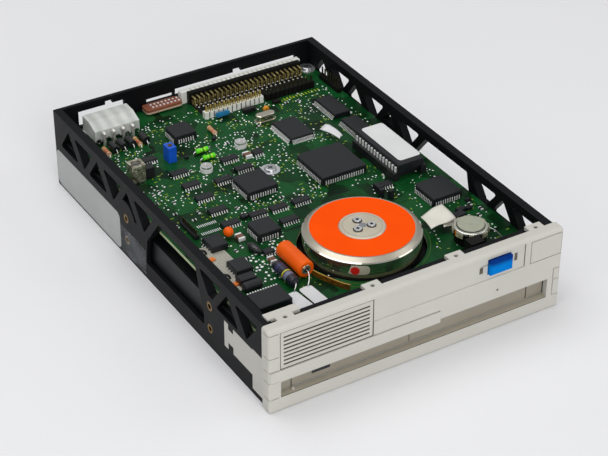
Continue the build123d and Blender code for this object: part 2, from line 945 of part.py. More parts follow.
def make_eject_switch():
    """Switch body on the board with its plunger towards the button."""
    front = board_front + switch_setback
    body_z = (board_top, board_top + switch_height)
    body = block(around(button_x, switch_width), (front, front + switch_depth), body_z)
    return body + lengthwise(button_x, (front - plunger_length, front), stem_z, plunger_radius)


def make_light_pipes():
    """Two clear light guides that narrow behind the bezel and reach back to the lamps."""
    pipes = []
    for (x, z), (width, height) in lights:
        window_y = (bezel_front + light_pipe_reveal, 0)
        pipe = block(around(x, width), window_y, around(z, height))
        pipes.append(pipe + block(around(x, width), (0, light_pipe_back), around(z, light_neck_height)))
    return apart(pipes)


def make_lamps():
    """Round lamps behind the light guides, on legs from the board."""
    lamps = []
    for (x, z), _ in lights:
        lamp = lengthwise(x, (light_pipe_back, light_pipe_back + lamp_depth), z, lamp_radius)
        leg_front = light_pipe_back + lamp_leg_setback
        leg_y = (leg_front, leg_front + lamp_leg_depth)
        lamps.append(lamp + block(around(x, lamp_leg_width), leg_y, (board_top, z)))
    return apart(lamps)


def make_deck():
    """Deck plate with side walls, guide rails and feet round the cartridge bay."""
    y = (deck_front, deck_rear)
    deck = block((-half_deck, half_deck), y, (bay_roof, deck_top))
    side = block((half_deck - bay_wall, half_deck), y, (flange_top, deck_top))
    rail_x = (half_deck - bay_wall - bay_rail_width, half_deck)
    side += block(rail_x, y, (bay_rail_top - bay_rail_height, bay_rail_top))
    for foot_y in foot_ys:
        side += block(rail_x, around(foot_y, foot_length), (flange_top, bay_rail_top))
        bore_z = (flange_top, bay_rail_top - screw_tip_gap)
        side -= upright(foot_hole_x, foot_y, bore_z, screw_shank_radius)
    deck += both_sides(side)
    deck += block((-half_deck, half_deck), (deck_rear - bay_wall, deck_rear), (bay_rail_top, deck_top))
    deck += upright(centre_post_x, centre_post_y, (deck_top, board_bottom), post_radius)
    bore_z = (board_bottom - board_screw_reach, board_bottom)
    deck -= upright(centre_post_x, centre_post_y, bore_z, screw_shank_radius)
    return deck - upright(motor_x, motor_y, (bay_roof, deck_top), bearing_radius)


def make_circuit_board():
    """Main board, cut out round the motor and the round can."""
    z = (board_bottom, board_top)
    board = block((-half_board, half_board), (board_front, board_rear), z)
    board -= upright(motor_x, motor_y, z, can_radius + cutout_gap)
    board -= upright(actuator_x, actuator_y, z, actuator_base_radius + seat_gap)
    for x, y in screw_places():
        board -= upright(x, y, z, screw_shank_radius + board_hole_gap)
    return board


def screw_places():
    return [(corner_post_x, corner_post_y), (-corner_post_x, corner_post_y), (centre_post_x, centre_post_y)]


def make_board_screws():
    """Pan-head screws through the board into the posts."""
    screws = []
    for x, y in screw_places():
        head = upright(x, y, (board_top, board_top + screw_head_height), screw_head_radius)
        head = fillet(head.edges().group_by(Axis.Z)[-1], screw_head_round)
        screws.append(head + upright(x, y, (board_bottom - board_screw_reach, board_top), screw_shank_radius))
    return apart(screws)


def power_pin_xs():
    return in_row(power_x, power_pitch, power_pins)


def make_power_connector():
    """White nylon housing with a sloping front, four barrels and an open rear."""
    rear = power_front + power_depth
    top = power_bottom + power_height
    profile = Polyline(
        (power_front, power_bottom),
        (power_front, power_bottom + power_front_height),
        (power_front + power_slope, top),
        (rear, top),
        (rear, power_bottom),
        close=True,
    )
    housing = across(make_face(profile), around(power_x, power_width))
    mouth_x = around(power_x, power_width - 2 * power_skin)
    mouth_z = (power_bottom + power_skin, top - 2 * power_skin)
    housing -= block(mouth_x, (power_front + power_floor, rear), mouth_z)
    for x in power_pin_xs():
        housing -= lengthwise(x, (power_front, power_front + power_floor), power_pin_z, power_pin_radius)
    for x in in_row(power_x, power_pitch, power_pins + 1):
        notch_y = (power_front, power_front + power_floor)
        housing -= lengthwise(x, notch_y, power_bottom, power_barrel_notch)
    foot_y = (power_front + power_foot[0], power_front + power_foot[1])
    foot_x = around(power_x, power_width - 2 * power_foot_inset)
    return housing + block(foot_x, foot_y, (board_top, power_bottom))


def make_power_pins():
    """Four round pins bent down to the board."""
    bend_y = power_front - power_leg_reach
    pins = []
    for x in power_pin_xs():
        pin = lengthwise(x, (bend_y, power_front + power_pin_tail), power_pin_z, power_pin_radius)
        pin += upright(x, bend_y, (board_top, power_pin_z), power_leg_radius)
        pins.append(pin + Pos(x, bend_y, power_pin_z) * Sphere(power_pin_radius))
    return apart(pins)


def make_jumper_block():
    """Thin brown plate on two low feet, with two rows of holes."""
    low = board_top + jumper_lift
    top = low + jumper_thickness
    x = around(jumper_x, jumper_width)
    y = (jumper_front, jumper_front + jumper_depth)
    body = block(x, y, (low, top))
    body = fillet(body.edges().filter_by(Axis.Z), jumper_corner)
    for column_x in in_row(jumper_x + jumper_shift, jumper_pitch, jumper_columns):
        for row_y in in_row(sum(y) / 2, jumper_row_spacing, 2):
            hole_x = around(column_x, jumper_hole)
            body -= block(hole_x, around(row_y, jumper_hole), (top - jumper_hole_depth, top))
    for foot_x in (x[0] + jumper_corner, x[1] - jumper_corner - jumper_foot):
        foot_y = around(sum(y) / 2, jumper_foot)
        body += block((foot_x, foot_x + jumper_foot), foot_y, (board_top, low))
    return body


def signal_xs():
    return in_row(signal_x, pin_pitch, signal_columns)


def make_signal_header():
    """Cream housing with a ribbed top, open towards the rear wall's window."""
    y = (housing_front, housing_front + signal_depth)
    top = board_top + signal_height
    body = block((signal_left, signal_right), y, (board_top, top))
    recess_x = (signal_left + signal_skin, signal_right - signal_skin)
    recess_z = (board_top + signal_skin, top - signal_skin)
    body -= block(recess_x, (housing_front + signal_floor, y[1]), recess_z)
    for x in in_row(signal_x, pin_pitch, signal_columns - 1):
        body -= block(around(x, rib_gap), (y[0], y[1] - signal_skin), (top - rib_depth, top))
    return body


def make_signal_pins():
    """Right-angle pins in two rows, bent down to the board in front of their strip."""
    pins = []
    for x in signal_xs():
        for row in (0, 1):
            z = lower_row_z + pin_pitch * row
            foot_y = signal_front - lower_foot_reach - pin_pitch * row
            arm = block(around(x, pin_side), (foot_y, signal_front), around(z, pin_side))
            leg_z = (board_top, z + pin_side / 2)
            pins.append(arm + block(around(x, pin_side), around(foot_y, pin_side), leg_z))
            tail = (housing_front + signal_floor, inner_rear - signal_pin_end)
            pins.append(block(around(x, pin_side), tail, around(z, pin_side)))
    return apart(pins)


def strip(left, count):
    """Single-row socket strip that starts at its left end, grooved between its contacts."""
    top = board_top + sip_height
    y = around(sip_y, sip_width)
    body = block((left, left + count * pin_pitch), y, (board_top, top))
    for x in in_row(left + count * pin_pitch / 2, pin_pitch, count - 1):
        body -= block(around(x, rib_gap), (y[0], y[0] + rib_gap), (board_top, top))
    return body


def make_terminator_sockets():
    """White single-row socket strip in front of the signal pins."""
    return strip(sip_left, sip_pins)


def make_dark_strips():
    """Dark insulators: the signal pins' strip, the second socket strip, the side strip and a small box."""
    pin_strip = block(
        around(signal_x, signal_strip_width),
        (signal_front, housing_front),
        (board_top, board_top + signal_strip_height),
    )
    side_rear = inner_rear - side_strip_setback
    side_y = (side_rear - side_strip_pins * pin_pitch, side_rear)
    side_x = around(half_frame - side_strip_inset, sip_width)
    side = block(side_x, side_y, (board_top, board_top + side_strip_height))
    small_box = chip(dark_box_size, dark_box_place, 0)
    return apart([pin_strip, strip(edge_header_left, edge_header_pins), side, small_box])


def chip(size, place, lift):
    """Moulded chip body, held off the board by its leads."""
    x, y = spread(place)
    width, depth, height = size
    z = (board_top + lift, board_top + lift + height)
    body = block(around(x, width), around(y, depth), z)
    return chamfer(body.edges().group_by(Axis.Z)[-1], chip_edge)


def spread(place):
    """A place on the board; behind the motor it keeps its share of the board's length."""
    x, y = place
    if y > layout_front:
        y = layout_front + (y - layout_front) * layout_stretch
    return x, y


def carrier(size, place):
    """Square chip carrier with its pin-one corner cut off."""
    x, y = spread(place)
    width, depth, height = size
    cutter = Box(carrier_corner, carrier_corner, 2 * height)
    corner = Pos(x - width / 2, y + depth / 2, board_top + chip_lift + height / 2) * Rot(0, 0, 45) * cutter
    return chip(size, place, chip_lift) - corner


def make_processor():
    return carrier(plcc_68_size, plcc_68_place)


def make_chip_carriers():
    """Four smaller chip carriers in two sizes."""
    chips = [carrier(plcc_44_size, place) for place in plcc_44_places]
    chips += [carrier(plcc_28_size, place) for place in plcc_28_places]
    return apart(chips)


def make_quad_package():
    return chip(quad_size, quad_place, chip_lift)


def make_memory_chips():
    return apart([chip(memory_size, place, chip_lift) for place in memory_places])


def make_eprom_socket():
    """Two rails of turned contacts joined by three cross bars."""
    x, y = spread(eprom_place)
    z = (board_top, board_top + socket_height)
    left = block(around(x - socket_pitch_x / 2, socket_rail), around(y, socket_length), z)
    right = block(around(x + socket_pitch_x / 2, socket_rail), around(y, socket_length), z)
    bars = []
    for bar_y in in_row(y, socket_bar_pitch, 3):
        bars.append(block(around(x, socket_pitch_x), around(bar_y, socket_bar_width), z))
    return merged([left, right] + bars)


def make_eprom_chip():
    """Ceramic chip with a half-round notch at its rear end."""
    x, y = spread(eprom_place)
    body = chip(eprom_size, eprom_place, socket_height + chip_lift)
    top = board_top + socket_height + chip_lift + eprom_size[2]
    notch_z = (top - eprom_notch_depth, top)
    return body - upright(x, y + eprom_size[1] / 2, notch_z, eprom_notch_radius)


def make_logic_chips():
    """Small outline chips in two lengths."""
    chips = [chip(logic_size, place, chip_lift) for place in logic_places]
    chips += [chip(small_logic_size, place, chip_lift) for place in small_logic_places]
    return apart(chips)


def make_driver_chips():
    return apart([chip(driver_size, place, chip_lift) for place in driver_places])


def make_power_packages():
    """Large flat package in the left front corner, the relay behind it and the choke between."""
    x, y = choke_place
    choke = crosswise(around(x, choke_length), y, board_top + choke_radius, choke_radius)
    choke = fillet(choke.edges(), choke_edge)
    return apart([chip(array_size, array_place, chip_lift), chip(relay_size, relay_place, 0), choke])


def lying(place, length, radius, lift):
    """Round component lying along y above the board."""
    x, y = spread(place)
    return lengthwise(x, around(y, length), board_top + radius + lift, radius)


def make_trimmer_pot():
    """Upright trimmer body, bored for its screw."""
    x, y = spread(trimmer_place)
    width, depth, height = trimmer_size
    top = board_top + height
    body = block(around(x, width), around(y, depth), (board_top, top))
    return body - upright(x, y, (top - trimmer_screw_depth, top), trimmer_screw_radius + shaft_gap)


def make_trimmer_screw():
    """Slotted brass screw in the top of the trimmer."""
    x, y = spread(trimmer_place)
    top = board_top + trimmer_size[2]
    head = top + trimmer_screw_proud
    screw = upright(x, y, (top - trimmer_screw_depth, head), trimmer_screw_radius)
    slot_y = around(y, 3 * trimmer_screw_radius)
    return screw - block(around(x, screw_slot_width), slot_y, (head - screw_slot_depth, head))


def make_trimmer_bases():
    """Ceramic bases of the two round trimmer capacitors."""
    bases = []
    top = board_top + trimmer_capacitor_height
    for x, y in map(spread, trimmer_capacitor_places):
        base = upright(x, y, (board_top, top), trimmer_capacitor_radius)
        bases.append(base - upright(x, y, (top - rotor_pin_length, top), rotor_pin_radius + shaft_gap))
    return apart(bases)


def make_trimmer_rotor(place):
    """Slotted rotor that turns on its pin in the base."""
    x, y = spread(place)
    low = board_top + trimmer_capacitor_height + rotor_gap
    high = low + rotor_height
    rotor = upright(x, y, (low, high), rotor_radius)
    rotor += upright(x, y, (low - rotor_pin_length, low), rotor_pin_radius)
    slot_width, slot_length, slot_depth = rotor_slot
    return rotor - block(around(x, slot_width), around(y, slot_length), (high - slot_depth, high))


def make_coil_can():
    """Square screening can of the tuning coil, open at the top for its slug."""
    x, y = spread(coil_can_place)
    top = board_top + coil_can_height
    can = block(around(x, coil_can_side), around(y, coil_can_side), (board_top, top))
    can = fillet(can.edges().filter_by(Axis.Z), coil_can_corner)
    return can - upright(x, y, (top - coil_bore_depth, top), coil_slug_radius + shaft_gap)


def make_coil_slug():
    """Threaded ferrite slug, slotted for a trimming tool."""
    x, y = spread(coil_can_place)
    top = board_top + coil_can_height
    high = top - coil_slug_drop
    slug = upright(x, y, (top - coil_bore_depth, high), coil_slug_radius)
    slot_length, slot_width, slot_depth = slug_slot
    return slug - block(around(x, slot_length), around(y, slot_width), (high - slot_depth, high))


def make_crystal():
    """Low metal crystal can with round ends and a welded flange."""
    place = Pos(*spread(crystal_place), board_top)
    can = extrude(place * SlotOverall(crystal_length, crystal_width), crystal_height)
    can = fillet(can.edges().group_by(Axis.Z)[-1], crystal_edge)
    rim = SlotOverall(crystal_length + 2 * crystal_flange, crystal_width + 2 * crystal_flange)
    return can + extrude(place * rim, crystal_flange)


def make_film_capacitor():
    """Large tubular capacitor with rounded ends."""
    body = lying(film_capacitor_place, film_capacitor_length, film_capacitor_radius, lying_lift)
    return fillet(body.edges(), film_capacitor_edge)


def make_inductor():
    body = lying(inductor_place, inductor_length, inductor_radius, lying_lift)
    return fillet(body.edges(), inductor_edge)


def make_tantalum():
    x, y = spread(tantalum_place)
    return Pos(x, y, board_top + tantalum_radius + tantalum_lift) * Sphere(tantalum_radius)


def make_diodes():
    return apart([lying(place, diode_length, diode_radius, small_lift) for place in diode_places])


def barrel_resistor():
    """Resistor body along x with thicker ends, centred on its axis."""
    body = crosswise(around(0, resistor_length), 0, 0, resistor_radius * resistor_waist)
    for end_x in in_row(0, resistor_length - 2 * resistor_cap_inset, 2):
        body += crosswise(around(end_x, resistor_cap), 0, 0, resistor_radius)
    return body


def laid(place, turn):
    """Location of a resistor's axis above the board."""
    return Pos(*spread(place), board_top + resistor_radius + small_lift) * Rot(0, 0, turn)


def make_resistors():
    return apart([laid(place, 90) * barrel_resistor() for place in resistor_places])


def make_green_resistors():
    """Two resistors side by side that lie across the board."""
    return apart([laid(place, 0) * barrel_resistor() for place in green_resistor_places])


def gold_post(x, y, z):
    return block(around(x, pin_side), around(y, pin_side), z)


def make_gold_posts():
    """Row of tall test posts beside the left wall, and the contacts that stand on both socket strips."""
    x, y = spread(post_strip_place)
    posts = []
    for post_y in in_row(y, post_strip_pitch, post_strip_pins):
        posts.append(gold_post(x, post_y, (board_top, board_top + post_strip_height)))
    strip_top = board_top + sip_height
    for left, count in ((sip_left, sip_pins), (edge_header_left, edge_header_pins)):
        for post_x in in_row(left + count * pin_pitch / 2, pin_pitch, count):
            posts.append(gold_post(post_x, sip_y, (strip_top, strip_top + strip_pin_height)))
    return apart(posts)


def on_motor(z, radius):
    """Disc on the motor's axis."""
    return upright(motor_x, motor_y, z, radius)


def make_motor_base():
    """Motor plate on the deck with the bearing tube standing on it."""
    plate = on_motor((deck_top, deck_top + motor_plate_height), motor_plate_radius)
    tube_z = (deck_top, bearing_tube_top)
    return plate + on_motor(tube_z, bearing_tube_radius) - on_motor(tube_z, bearing_radius)


def make_bearings():
    """Two ball bearings, one at each end of the tube, shown as plain rings."""
    rings = []
    for low in (bay_roof, bearing_tube_top - bearing_height):
        z = (low, low + bearing_height)
        rings.append(on_motor(z, bearing_radius) - on_motor(z, shaft_radius + shaft_gap))
    return apart(rings)


def make_stator():
    """Laminated core with its poles, pressed on the bearing tube."""
    low = deck_top + motor_plate_height + stator_rise
    z = (low, low + stator_height)
    core = on_motor(z, stator_core_radius)
    pole = Pos(stator_radius / 2, 0, 0) * Box(stator_radius, pole_width, stator_height)
    pole += Pos(stator_radius - pole_tip_depth / 2, 0, 0) * Box(pole_tip_depth, pole_tip_width, stator_height)
    for index in range(stator_poles):
        core += Pos(motor_x, motor_y, sum(z) / 2) * Rot(0, 0, 360 / stator_poles * index) * pole
    return core - on_motor(z, bearing_tube_radius)


def make_motor_can():
    """Rotor: a steel cup with a bevelled rim, turned about the spindle axis."""
    inside = can_radius - can_skin
    crown = can_top - can_skin
    profile = Polyline(
        (shaft_radius, crown),
        (inside, crown - can_bevel_drop * can_crown_share),
        (inside, can_top - can_height),
        (can_radius, can_top - can_height),
        (can_radius, can_top - can_bevel_drop),
        (can_radius - can_bevel, can_top),
        (shaft_radius, can_top),
        close=True,
    )
    return Pos(motor_x, motor_y, 0) * revolve(Plane.XZ * make_face(profile), Axis.Z)


def make_motor_label():
    """Round paper label on the rotor, open in the middle for the hub."""
    z = (can_top, can_top + label_thickness)
    return on_motor(z, label_radius) - on_motor(z, hub_radius + seat_gap)


def make_motor_hub():
    """Turned hub that clamps the rotor to the shaft."""
    z = (can_top, can_top + hub_height)
    hub = on_motor(z, hub_radius)
    hub = chamfer(hub.edges().group_by(Axis.Z)[-1], hub_edge)
    return hub - on_motor(z, shaft_radius)


def make_hub_screws():
    """Three screws round the end of the shaft."""
    low = can_top + hub_height
    screws = []
    for index in range(hub_screws):
        angle = radians(90 + 360 / hub_screws * index)
        x = motor_x + hub_screw_circle * cos(angle)
        y = motor_y + hub_screw_circle * sin(angle)
        screws.append(upright(x, y, (low, low + hub_screw_height), hub_screw_radius))
    return apart(screws)


def make_turntable():
    """Shaft with the magnetic turntable and centring nose at its lower end."""
    top = bay_roof - turntable_gap
    bottom = top - turntable_height
    table = on_motor((bottom, top), turntable_radius)
    table = chamfer(table.edges().group_by(Axis.Z)[0], turntable_chamfer)
    table += on_motor((bottom, can_top + hub_height), shaft_radius)
    nose = Cone(spindle_nose_radius - turntable_chamfer, spindle_nose_radius, spindle_nose_length)
    return table + Pos(motor_x, motor_y, bottom - spindle_nose_length / 2) * nose


def sled_y():
    return sled_front, sled_front + sled_length


def coil_centres():
    return in_row(motor_x, sled_width + 2 * yoke_gap, 2)


def rail_xs():
    return in_row(motor_x, 2 * rail_spread, 2)


def make_optical_sled():
    """Carriage with bored ears on both rails and a coil frame on each side."""
    z = around(rail_z, sled_height)
    body = block(around(motor_x, sled_width), sled_y(), z)
    lens_y = sum(sled_y()) / 2
    body -= upright(motor_x, lens_y, z, lens_housing_radius + moving_gap)
    body += upright(motor_x, lens_y, (z[0], z[0] + lens_seat), lens_housing_radius + lens_seat_width)
    for x in rail_xs():
        body -= lengthwise(x, sled_y(), rail_z, rail_radius + shaft_gap)
    coil_y = (sled_front + coil_inset, sled_front + sled_length - coil_inset)
    for x in coil_centres():
        inner_z = (z[0] + coil_wall, z[1] - coil_wall)
        coil = block(around(x, 2 * yoke_gap), coil_y, z)
        body += coil - block(around(x, 2 * yoke_gap - 2 * coil_wall), coil_y, inner_z)
    return body


def make_lens():
    """Objective lens barrel that floats in the carriage."""
    low = rail_z - sled_height / 2 + lens_seat + lens_travel + rotor_gap
    lens_y = sum(sled_y()) / 2
    barrel = upright(motor_x, lens_y, (low, lens_top), lens_housing_radius)
    return barrel - Pos(motor_x, lens_y, lens_top + lens_sphere_rise) * Sphere(lens_radius)


def make_rails():
    """Two ground rails along the carriage's travel."""
    return apart([lengthwise(x, (rail_front, rail_rear), rail_z, rail_radius) for x in rail_xs()])


def make_yokes():
    """Steel yoke frame: a bar through each coil and a cross bar at both ends for the rails."""
    inner_width = 2 * (yoke_gap - coil_wall - moving_gap)
    inner_height = sled_height - 2 * (coil_wall + moving_gap)
    width = sled_width + 4 * yoke_gap + 2 * yoke_margin
    bars = []
    for y in (rail_front - rail_block, rail_rear):
        bars.append(block(around(motor_x, width), (y, y + rail_block), (cover_thickness, yoke_top)))
    for x in coil_centres():
        bars.append(block(around(x, inner_width), (rail_front, rail_rear), around(rail_z, inner_height)))
    return merged(bars)


def make_actuator():
    """Black lower body of the round can, seated on the deck."""
    z = (deck_top, actuator_top - actuator_can_height)
    return upright(actuator_x, actuator_y, z, actuator_base_radius)


def make_actuator_can():
    """Pressed metal can with a raised disc and a locating dot on top."""
    low = actuator_top - actuator_can_height
    can = upright(actuator_x, actuator_y, (low, actuator_top - actuator_rim_drop), actuator_radius)
    can = fillet(can.edges().group_by(Axis.Z)[-1], actuator_rim_drop)
    can += upright(actuator_x, actuator_y, (low, actuator_top), actuator_cap_radius)
    dot_z = (low, actuator_top + actuator_dot_height)
    return can + upright(actuator_x, actuator_y, dot_z, actuator_dot_radius)


parts = {
    "chassis_frame": make_chassis_frame(),
    "bottom_cover": make_bottom_cover(),
    "cover_screws": make_cover_screws(),
    "thread_inserts": make_thread_inserts(),
    "front_bezel": make_front_bezel(),
    "vent_grille": make_vent_grille(),
    "bay_door": make_bay_door(),
    "door_end_pieces": make_door_end_pieces(),
    "eject_button": make_eject_button(),
    "eject_switch": make_eject_switch(),
    "light_pipes": make_light_pipes(),
    "indicator_lamps": make_lamps(),
    "mechanism_deck": make_deck(),
    "circuit_board": make_circuit_board(),
    "board_screws": make_board_screws(),
    "power_connector": make_power_connector(),
    "power_pins": make_power_pins(),
    "jumper_block": make_jumper_block(),
    "signal_header": make_signal_header(),
    "signal_pins": make_signal_pins(),
    "terminator_sockets": make_terminator_sockets(),
    "dark_strips": make_dark_strips(),
    "processor_chip": make_processor(),
    "chip_carriers": make_chip_carriers(),
    "quad_package": make_quad_package(),
    "memory_chips": make_memory_chips(),
    "eprom_socket": make_eprom_socket(),
    "eprom_chip": make_eprom_chip(),
    "logic_chips": make_logic_chips(),
    "driver_chips": make_driver_chips(),
    "power_packages": make_power_packages(),
    "trimmer_pot": make_trimmer_pot(),
    "trimmer_screw": make_trimmer_screw(),
    "trimmer_capacitor_bases": make_trimmer_bases(),
    "trimmer_rotor_left": make_trimmer_rotor(trimmer_capacitor_places[0]),
    "trimmer_rotor_right": make_trimmer_rotor(trimmer_capacitor_places[1]),
    "coil_can": make_coil_can(),
    "coil_slug": make_coil_slug(),
    "crystal_can": make_crystal(),
    "film_capacitor": make_film_capacitor(),
    "banded_inductor": make_inductor(),
    "tantalum_bead": make_tantalum(),
    "diodes": make_diodes(),
    "resistors": make_resistors(),
    "green_resistors": make_green_resistors(),
    "test_posts": make_gold_posts(),
    "motor_base": make_motor_base(),
    "motor_bearings": make_bearings(),
    "motor_stator": make_stator(),
    "motor_can": make_motor_can(),
    "motor_label": make_motor_label(),
    "motor_hub": make_motor_hub(),
    "motor_hub_screws": make_hub_screws(),
    "spindle": make_turntable(),
    "optical_sled": make_optical_sled(),
    "objective_lens": make_lens(),
    "sled_rails": make_rails(),
    "sled_yokes": make_yokes(),
    "actuator_body": make_actuator(),
    "actuator_can": make_actuator_can(),
}

os.makedirs("parts", exist_ok=True)
for name, shape in parts.items():
    export_step(Pos(0, -origin_y, 0) * shape, f"parts/{name}.step")
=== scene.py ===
import math

import bmesh
import bpy
from mathutils import Matrix, Vector


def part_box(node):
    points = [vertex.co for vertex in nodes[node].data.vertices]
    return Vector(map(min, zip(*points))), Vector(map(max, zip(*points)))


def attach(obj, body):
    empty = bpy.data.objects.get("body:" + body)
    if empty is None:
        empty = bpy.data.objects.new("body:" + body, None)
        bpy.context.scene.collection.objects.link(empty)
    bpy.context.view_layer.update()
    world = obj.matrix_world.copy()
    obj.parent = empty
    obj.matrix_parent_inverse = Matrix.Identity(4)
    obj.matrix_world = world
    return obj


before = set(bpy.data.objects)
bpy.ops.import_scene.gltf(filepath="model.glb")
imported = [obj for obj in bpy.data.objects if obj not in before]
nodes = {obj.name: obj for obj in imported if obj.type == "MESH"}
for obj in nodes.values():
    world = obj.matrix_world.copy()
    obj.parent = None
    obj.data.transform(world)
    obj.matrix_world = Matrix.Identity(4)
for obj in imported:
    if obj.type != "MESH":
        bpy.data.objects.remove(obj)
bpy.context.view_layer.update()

# Camera
# The drive is seen from its left front corner, from well above, through a longish lens. Places are
# in metres.
eye = Vector((-0.3653, -0.6105, 0.4837))
towards_eye = Vector((-0.4308, -0.7110, 0.5557))
camera_roll = math.radians(0.091)
lens_mm = 108.37

camera_data = bpy.data.cameras.new("camera")
camera_data.sensor_width = 36.0
camera_data.lens = lens_mm
camera_data.clip_start = 0.01
camera = bpy.data.objects.new("camera", camera_data)
camera.matrix_world = (
    Matrix.Translation(eye)
    @ (-towards_eye).to_track_quat("-Z", "Y").to_matrix().to_4x4()
    @ Matrix.Rotation(camera_roll, 4, "Z")
)
bpy.context.scene.collection.objects.link(camera)
bpy.context.scene.camera = camera
bpy.context.scene.view_settings.view_transform = "Standard"


# Photo table
# A seamless sheet of pale grey paper under the drive, lit by large soft boxes from above
# and from both sides, as on a plain product table.
def linear(hex_colour):
    """An sRGB hex colour as the linear values that sockets take."""
    channels = [int(hex_colour[i:i + 2], 16) / 255 for i in (1, 3, 5)]
    return [c / 12.92 if c <= 0.04045 else ((c + 0.055) / 1.055) ** 2.4 for c in channels] + [1.0]


def add(tree, kind, inputs=None, **settings):
    """Adds a node. An input given as an output socket is linked, any other value is set."""
    node = tree.nodes.new(kind)
    for name, value in settings.items():
        setattr(node, name, value)
    for name, value in (inputs or {}).items():
        if isinstance(value, bpy.types.NodeSocket):
            tree.links.new(value, node.inputs[name])
        else:
            node.inputs[name].default_value = value
    return node


def new_material(name):
    """An empty material with its shader and output linked."""
    material = bpy.data.materials.new(name)
    material.use_nodes = True
    tree = material.node_tree
    tree.nodes.clear()
    shader = add(tree, "ShaderNodeBsdfPrincipled")
    add(tree, "ShaderNodeOutputMaterial", {"Surface": shader.outputs["BSDF"]})
    return material, tree, shader


def mesh_piece(name, vertices, faces, finish=None, edges=()):
    """A mesh object that stands at the origin with its place in its mesh."""
    mesh = bpy.data.meshes.new(name)
    mesh.from_pydata([tuple(v) for v in vertices], list(edges), faces)
    mesh.validate()
    piece = bpy.data.objects.new(name, mesh)
    bpy.context.scene.collection.objects.link(piece)
    if finish:
        mesh.materials.append(finish)
    return piece


# Smooth card is evenly dull, and slow clouds in its tone keep it from looking like a flat fill.
paper_half = 6.0
far_tone = "#E8E8EA"
paper, paper_tree, paper_shader = new_material("photo_paper")
paper_place = add(paper_tree, "ShaderNodeTexCoord")
paper_cloud = add(paper_tree, "ShaderNodeTexNoise",
                  {"Vector": paper_place.outputs["Object"], "Scale": 3.0, "Detail": 2.0})
paper_tone = add(paper_tree, "ShaderNodeMix",
                 {"Factor": paper_cloud.outputs["Fac"], "A": linear("#EDEDEE"), "B": linear("#E6E6E8")},
                 data_type="RGBA")
paper_tree.links.new(paper_tone.outputs["Result"], paper_shader.inputs["Base Color"])
paper_shader.inputs["Roughness"].default_value = 0.9
# Far from the drive the paper keeps its pale tone to the horizon, as seen or mirrored, and lights
# nothing. The change is spread over these distances from the drive, in metres.
paper_fade = (0.5, 1.3)
paper_reach = add(paper_tree, "ShaderNodeVectorMath", {0: paper_place.outputs["Object"]}, operation="LENGTH")
paper_far = add(paper_tree, "ShaderNodeMapRange",
                {"Value": paper_reach.outputs["Value"], "From Min": paper_fade[0], "From Max": paper_fade[1]},
                interpolation_type="SMOOTHSTEP")
paper_rays = add(paper_tree, "ShaderNodeLightPath")
paper_seen = add(paper_tree, "ShaderNodeMath",
                 {0: paper_rays.outputs["Is Camera Ray"], 1: paper_rays.outputs["Is Glossy Ray"]},
                 operation="MAXIMUM")
paper_shown = add(paper_tree, "ShaderNodeMath",
                  {0: paper_seen.outputs[0], 1: paper_rays.outputs["Is Transmission Ray"]},
                  operation="MAXIMUM")
paper_share = add(paper_tree, "ShaderNodeMath",
                  {0: paper_far.outputs["Result"], 1: paper_shown.outputs[0]}, operation="MULTIPLY")
paper_glow = add(paper_tree, "ShaderNodeEmission", {"Color": linear(far_tone)})
paper_mix = add(paper_tree, "ShaderNodeMixShader",
                {0: paper_share.outputs[0], 1: paper_shader.outputs["BSDF"], 2: paper_glow.outputs[0]})
paper_tree.links.new(paper_mix.outputs[0], paper_tree.nodes["Material Output"].inputs["Surface"])
floor = mesh_piece("floor", [(-paper_half, -paper_half, 0), (paper_half, -paper_half, 0),
                             (paper_half, paper_half, 0), (-paper_half, paper_half, 0)],
                   [(0, 1, 2, 3)], paper)

# The soft boxes face this place, low in the middle of the drive, in metres.
lamp_aim = Vector((0, 0, 0.02))


def soft_box(name, place, size, watts):
    """A square area light that faces the drive."""
    lamp = bpy.data.lights.new(name, "AREA")
    lamp.size = size
    lamp.energy = watts
    box_light = bpy.data.objects.new(name, lamp)
    box_light.location = place
    box_light.rotation_euler = (lamp_aim - Vector(place)).to_track_quat("-Z", "Y").to_euler()
    bpy.context.scene.collection.objects.link(box_light)


# Each box is its place and size in metres and its power in watts.
soft_box("overhead_box", (-0.15, 0.25, 1.1), 1.0, 7.5)
soft_box("left_box", (-1.1, -0.35, 0.7), 0.7, 1.8)
soft_box("right_box", (1.0, -0.5, 0.9), 0.7, 2.2)
soft_box("front_box", (-0.25, -1.3, 0.6), 0.8, 9.0)

# The room is a weak even light. It is shown as the far paper, and metal mirrors it a little brighter.
sky = bpy.data.worlds.new("studio")
sky.use_nodes = True
sky.node_tree.nodes.clear()
glow = add(sky.node_tree, "ShaderNodeBackground", {"Color": linear("#F4F5F7"), "Strength": 0.3})
mirrored = add(sky.node_tree, "ShaderNodeBackground", {"Color": linear("#F4F5F7"), "Strength": 0.5})
seen = add(sky.node_tree, "ShaderNodeBackground", {"Color": linear(far_tone), "Strength": 1.0})
rays = add(sky.node_tree, "ShaderNodeLightPath")
in_metal = add(sky.node_tree, "ShaderNodeMixShader",
               {0: rays.outputs["Is Glossy Ray"], 1: glow.outputs[0], 2: mirrored.outputs[0]})
pick = add(sky.node_tree, "ShaderNodeMixShader",
           {0: rays.outputs["Is Camera Ray"], 1: in_metal.outputs[0], 2: seen.outputs[0]})
add(sky.node_tree, "ShaderNodeOutputWorld", {"Surface": pick.outputs[0]})
bpy.context.scene.world = sky


# Frame
# One glass-filled black moulding: two truss side walls, the rear wall and the front cross bar.
# Brass thread inserts are pressed into it, and a bare silver-grey plate is stuck to its left side.
def millimetres(size):
    """Texture scale for a pattern of this size in millimetres, on coordinates in metres."""
    return 1000.0 / size


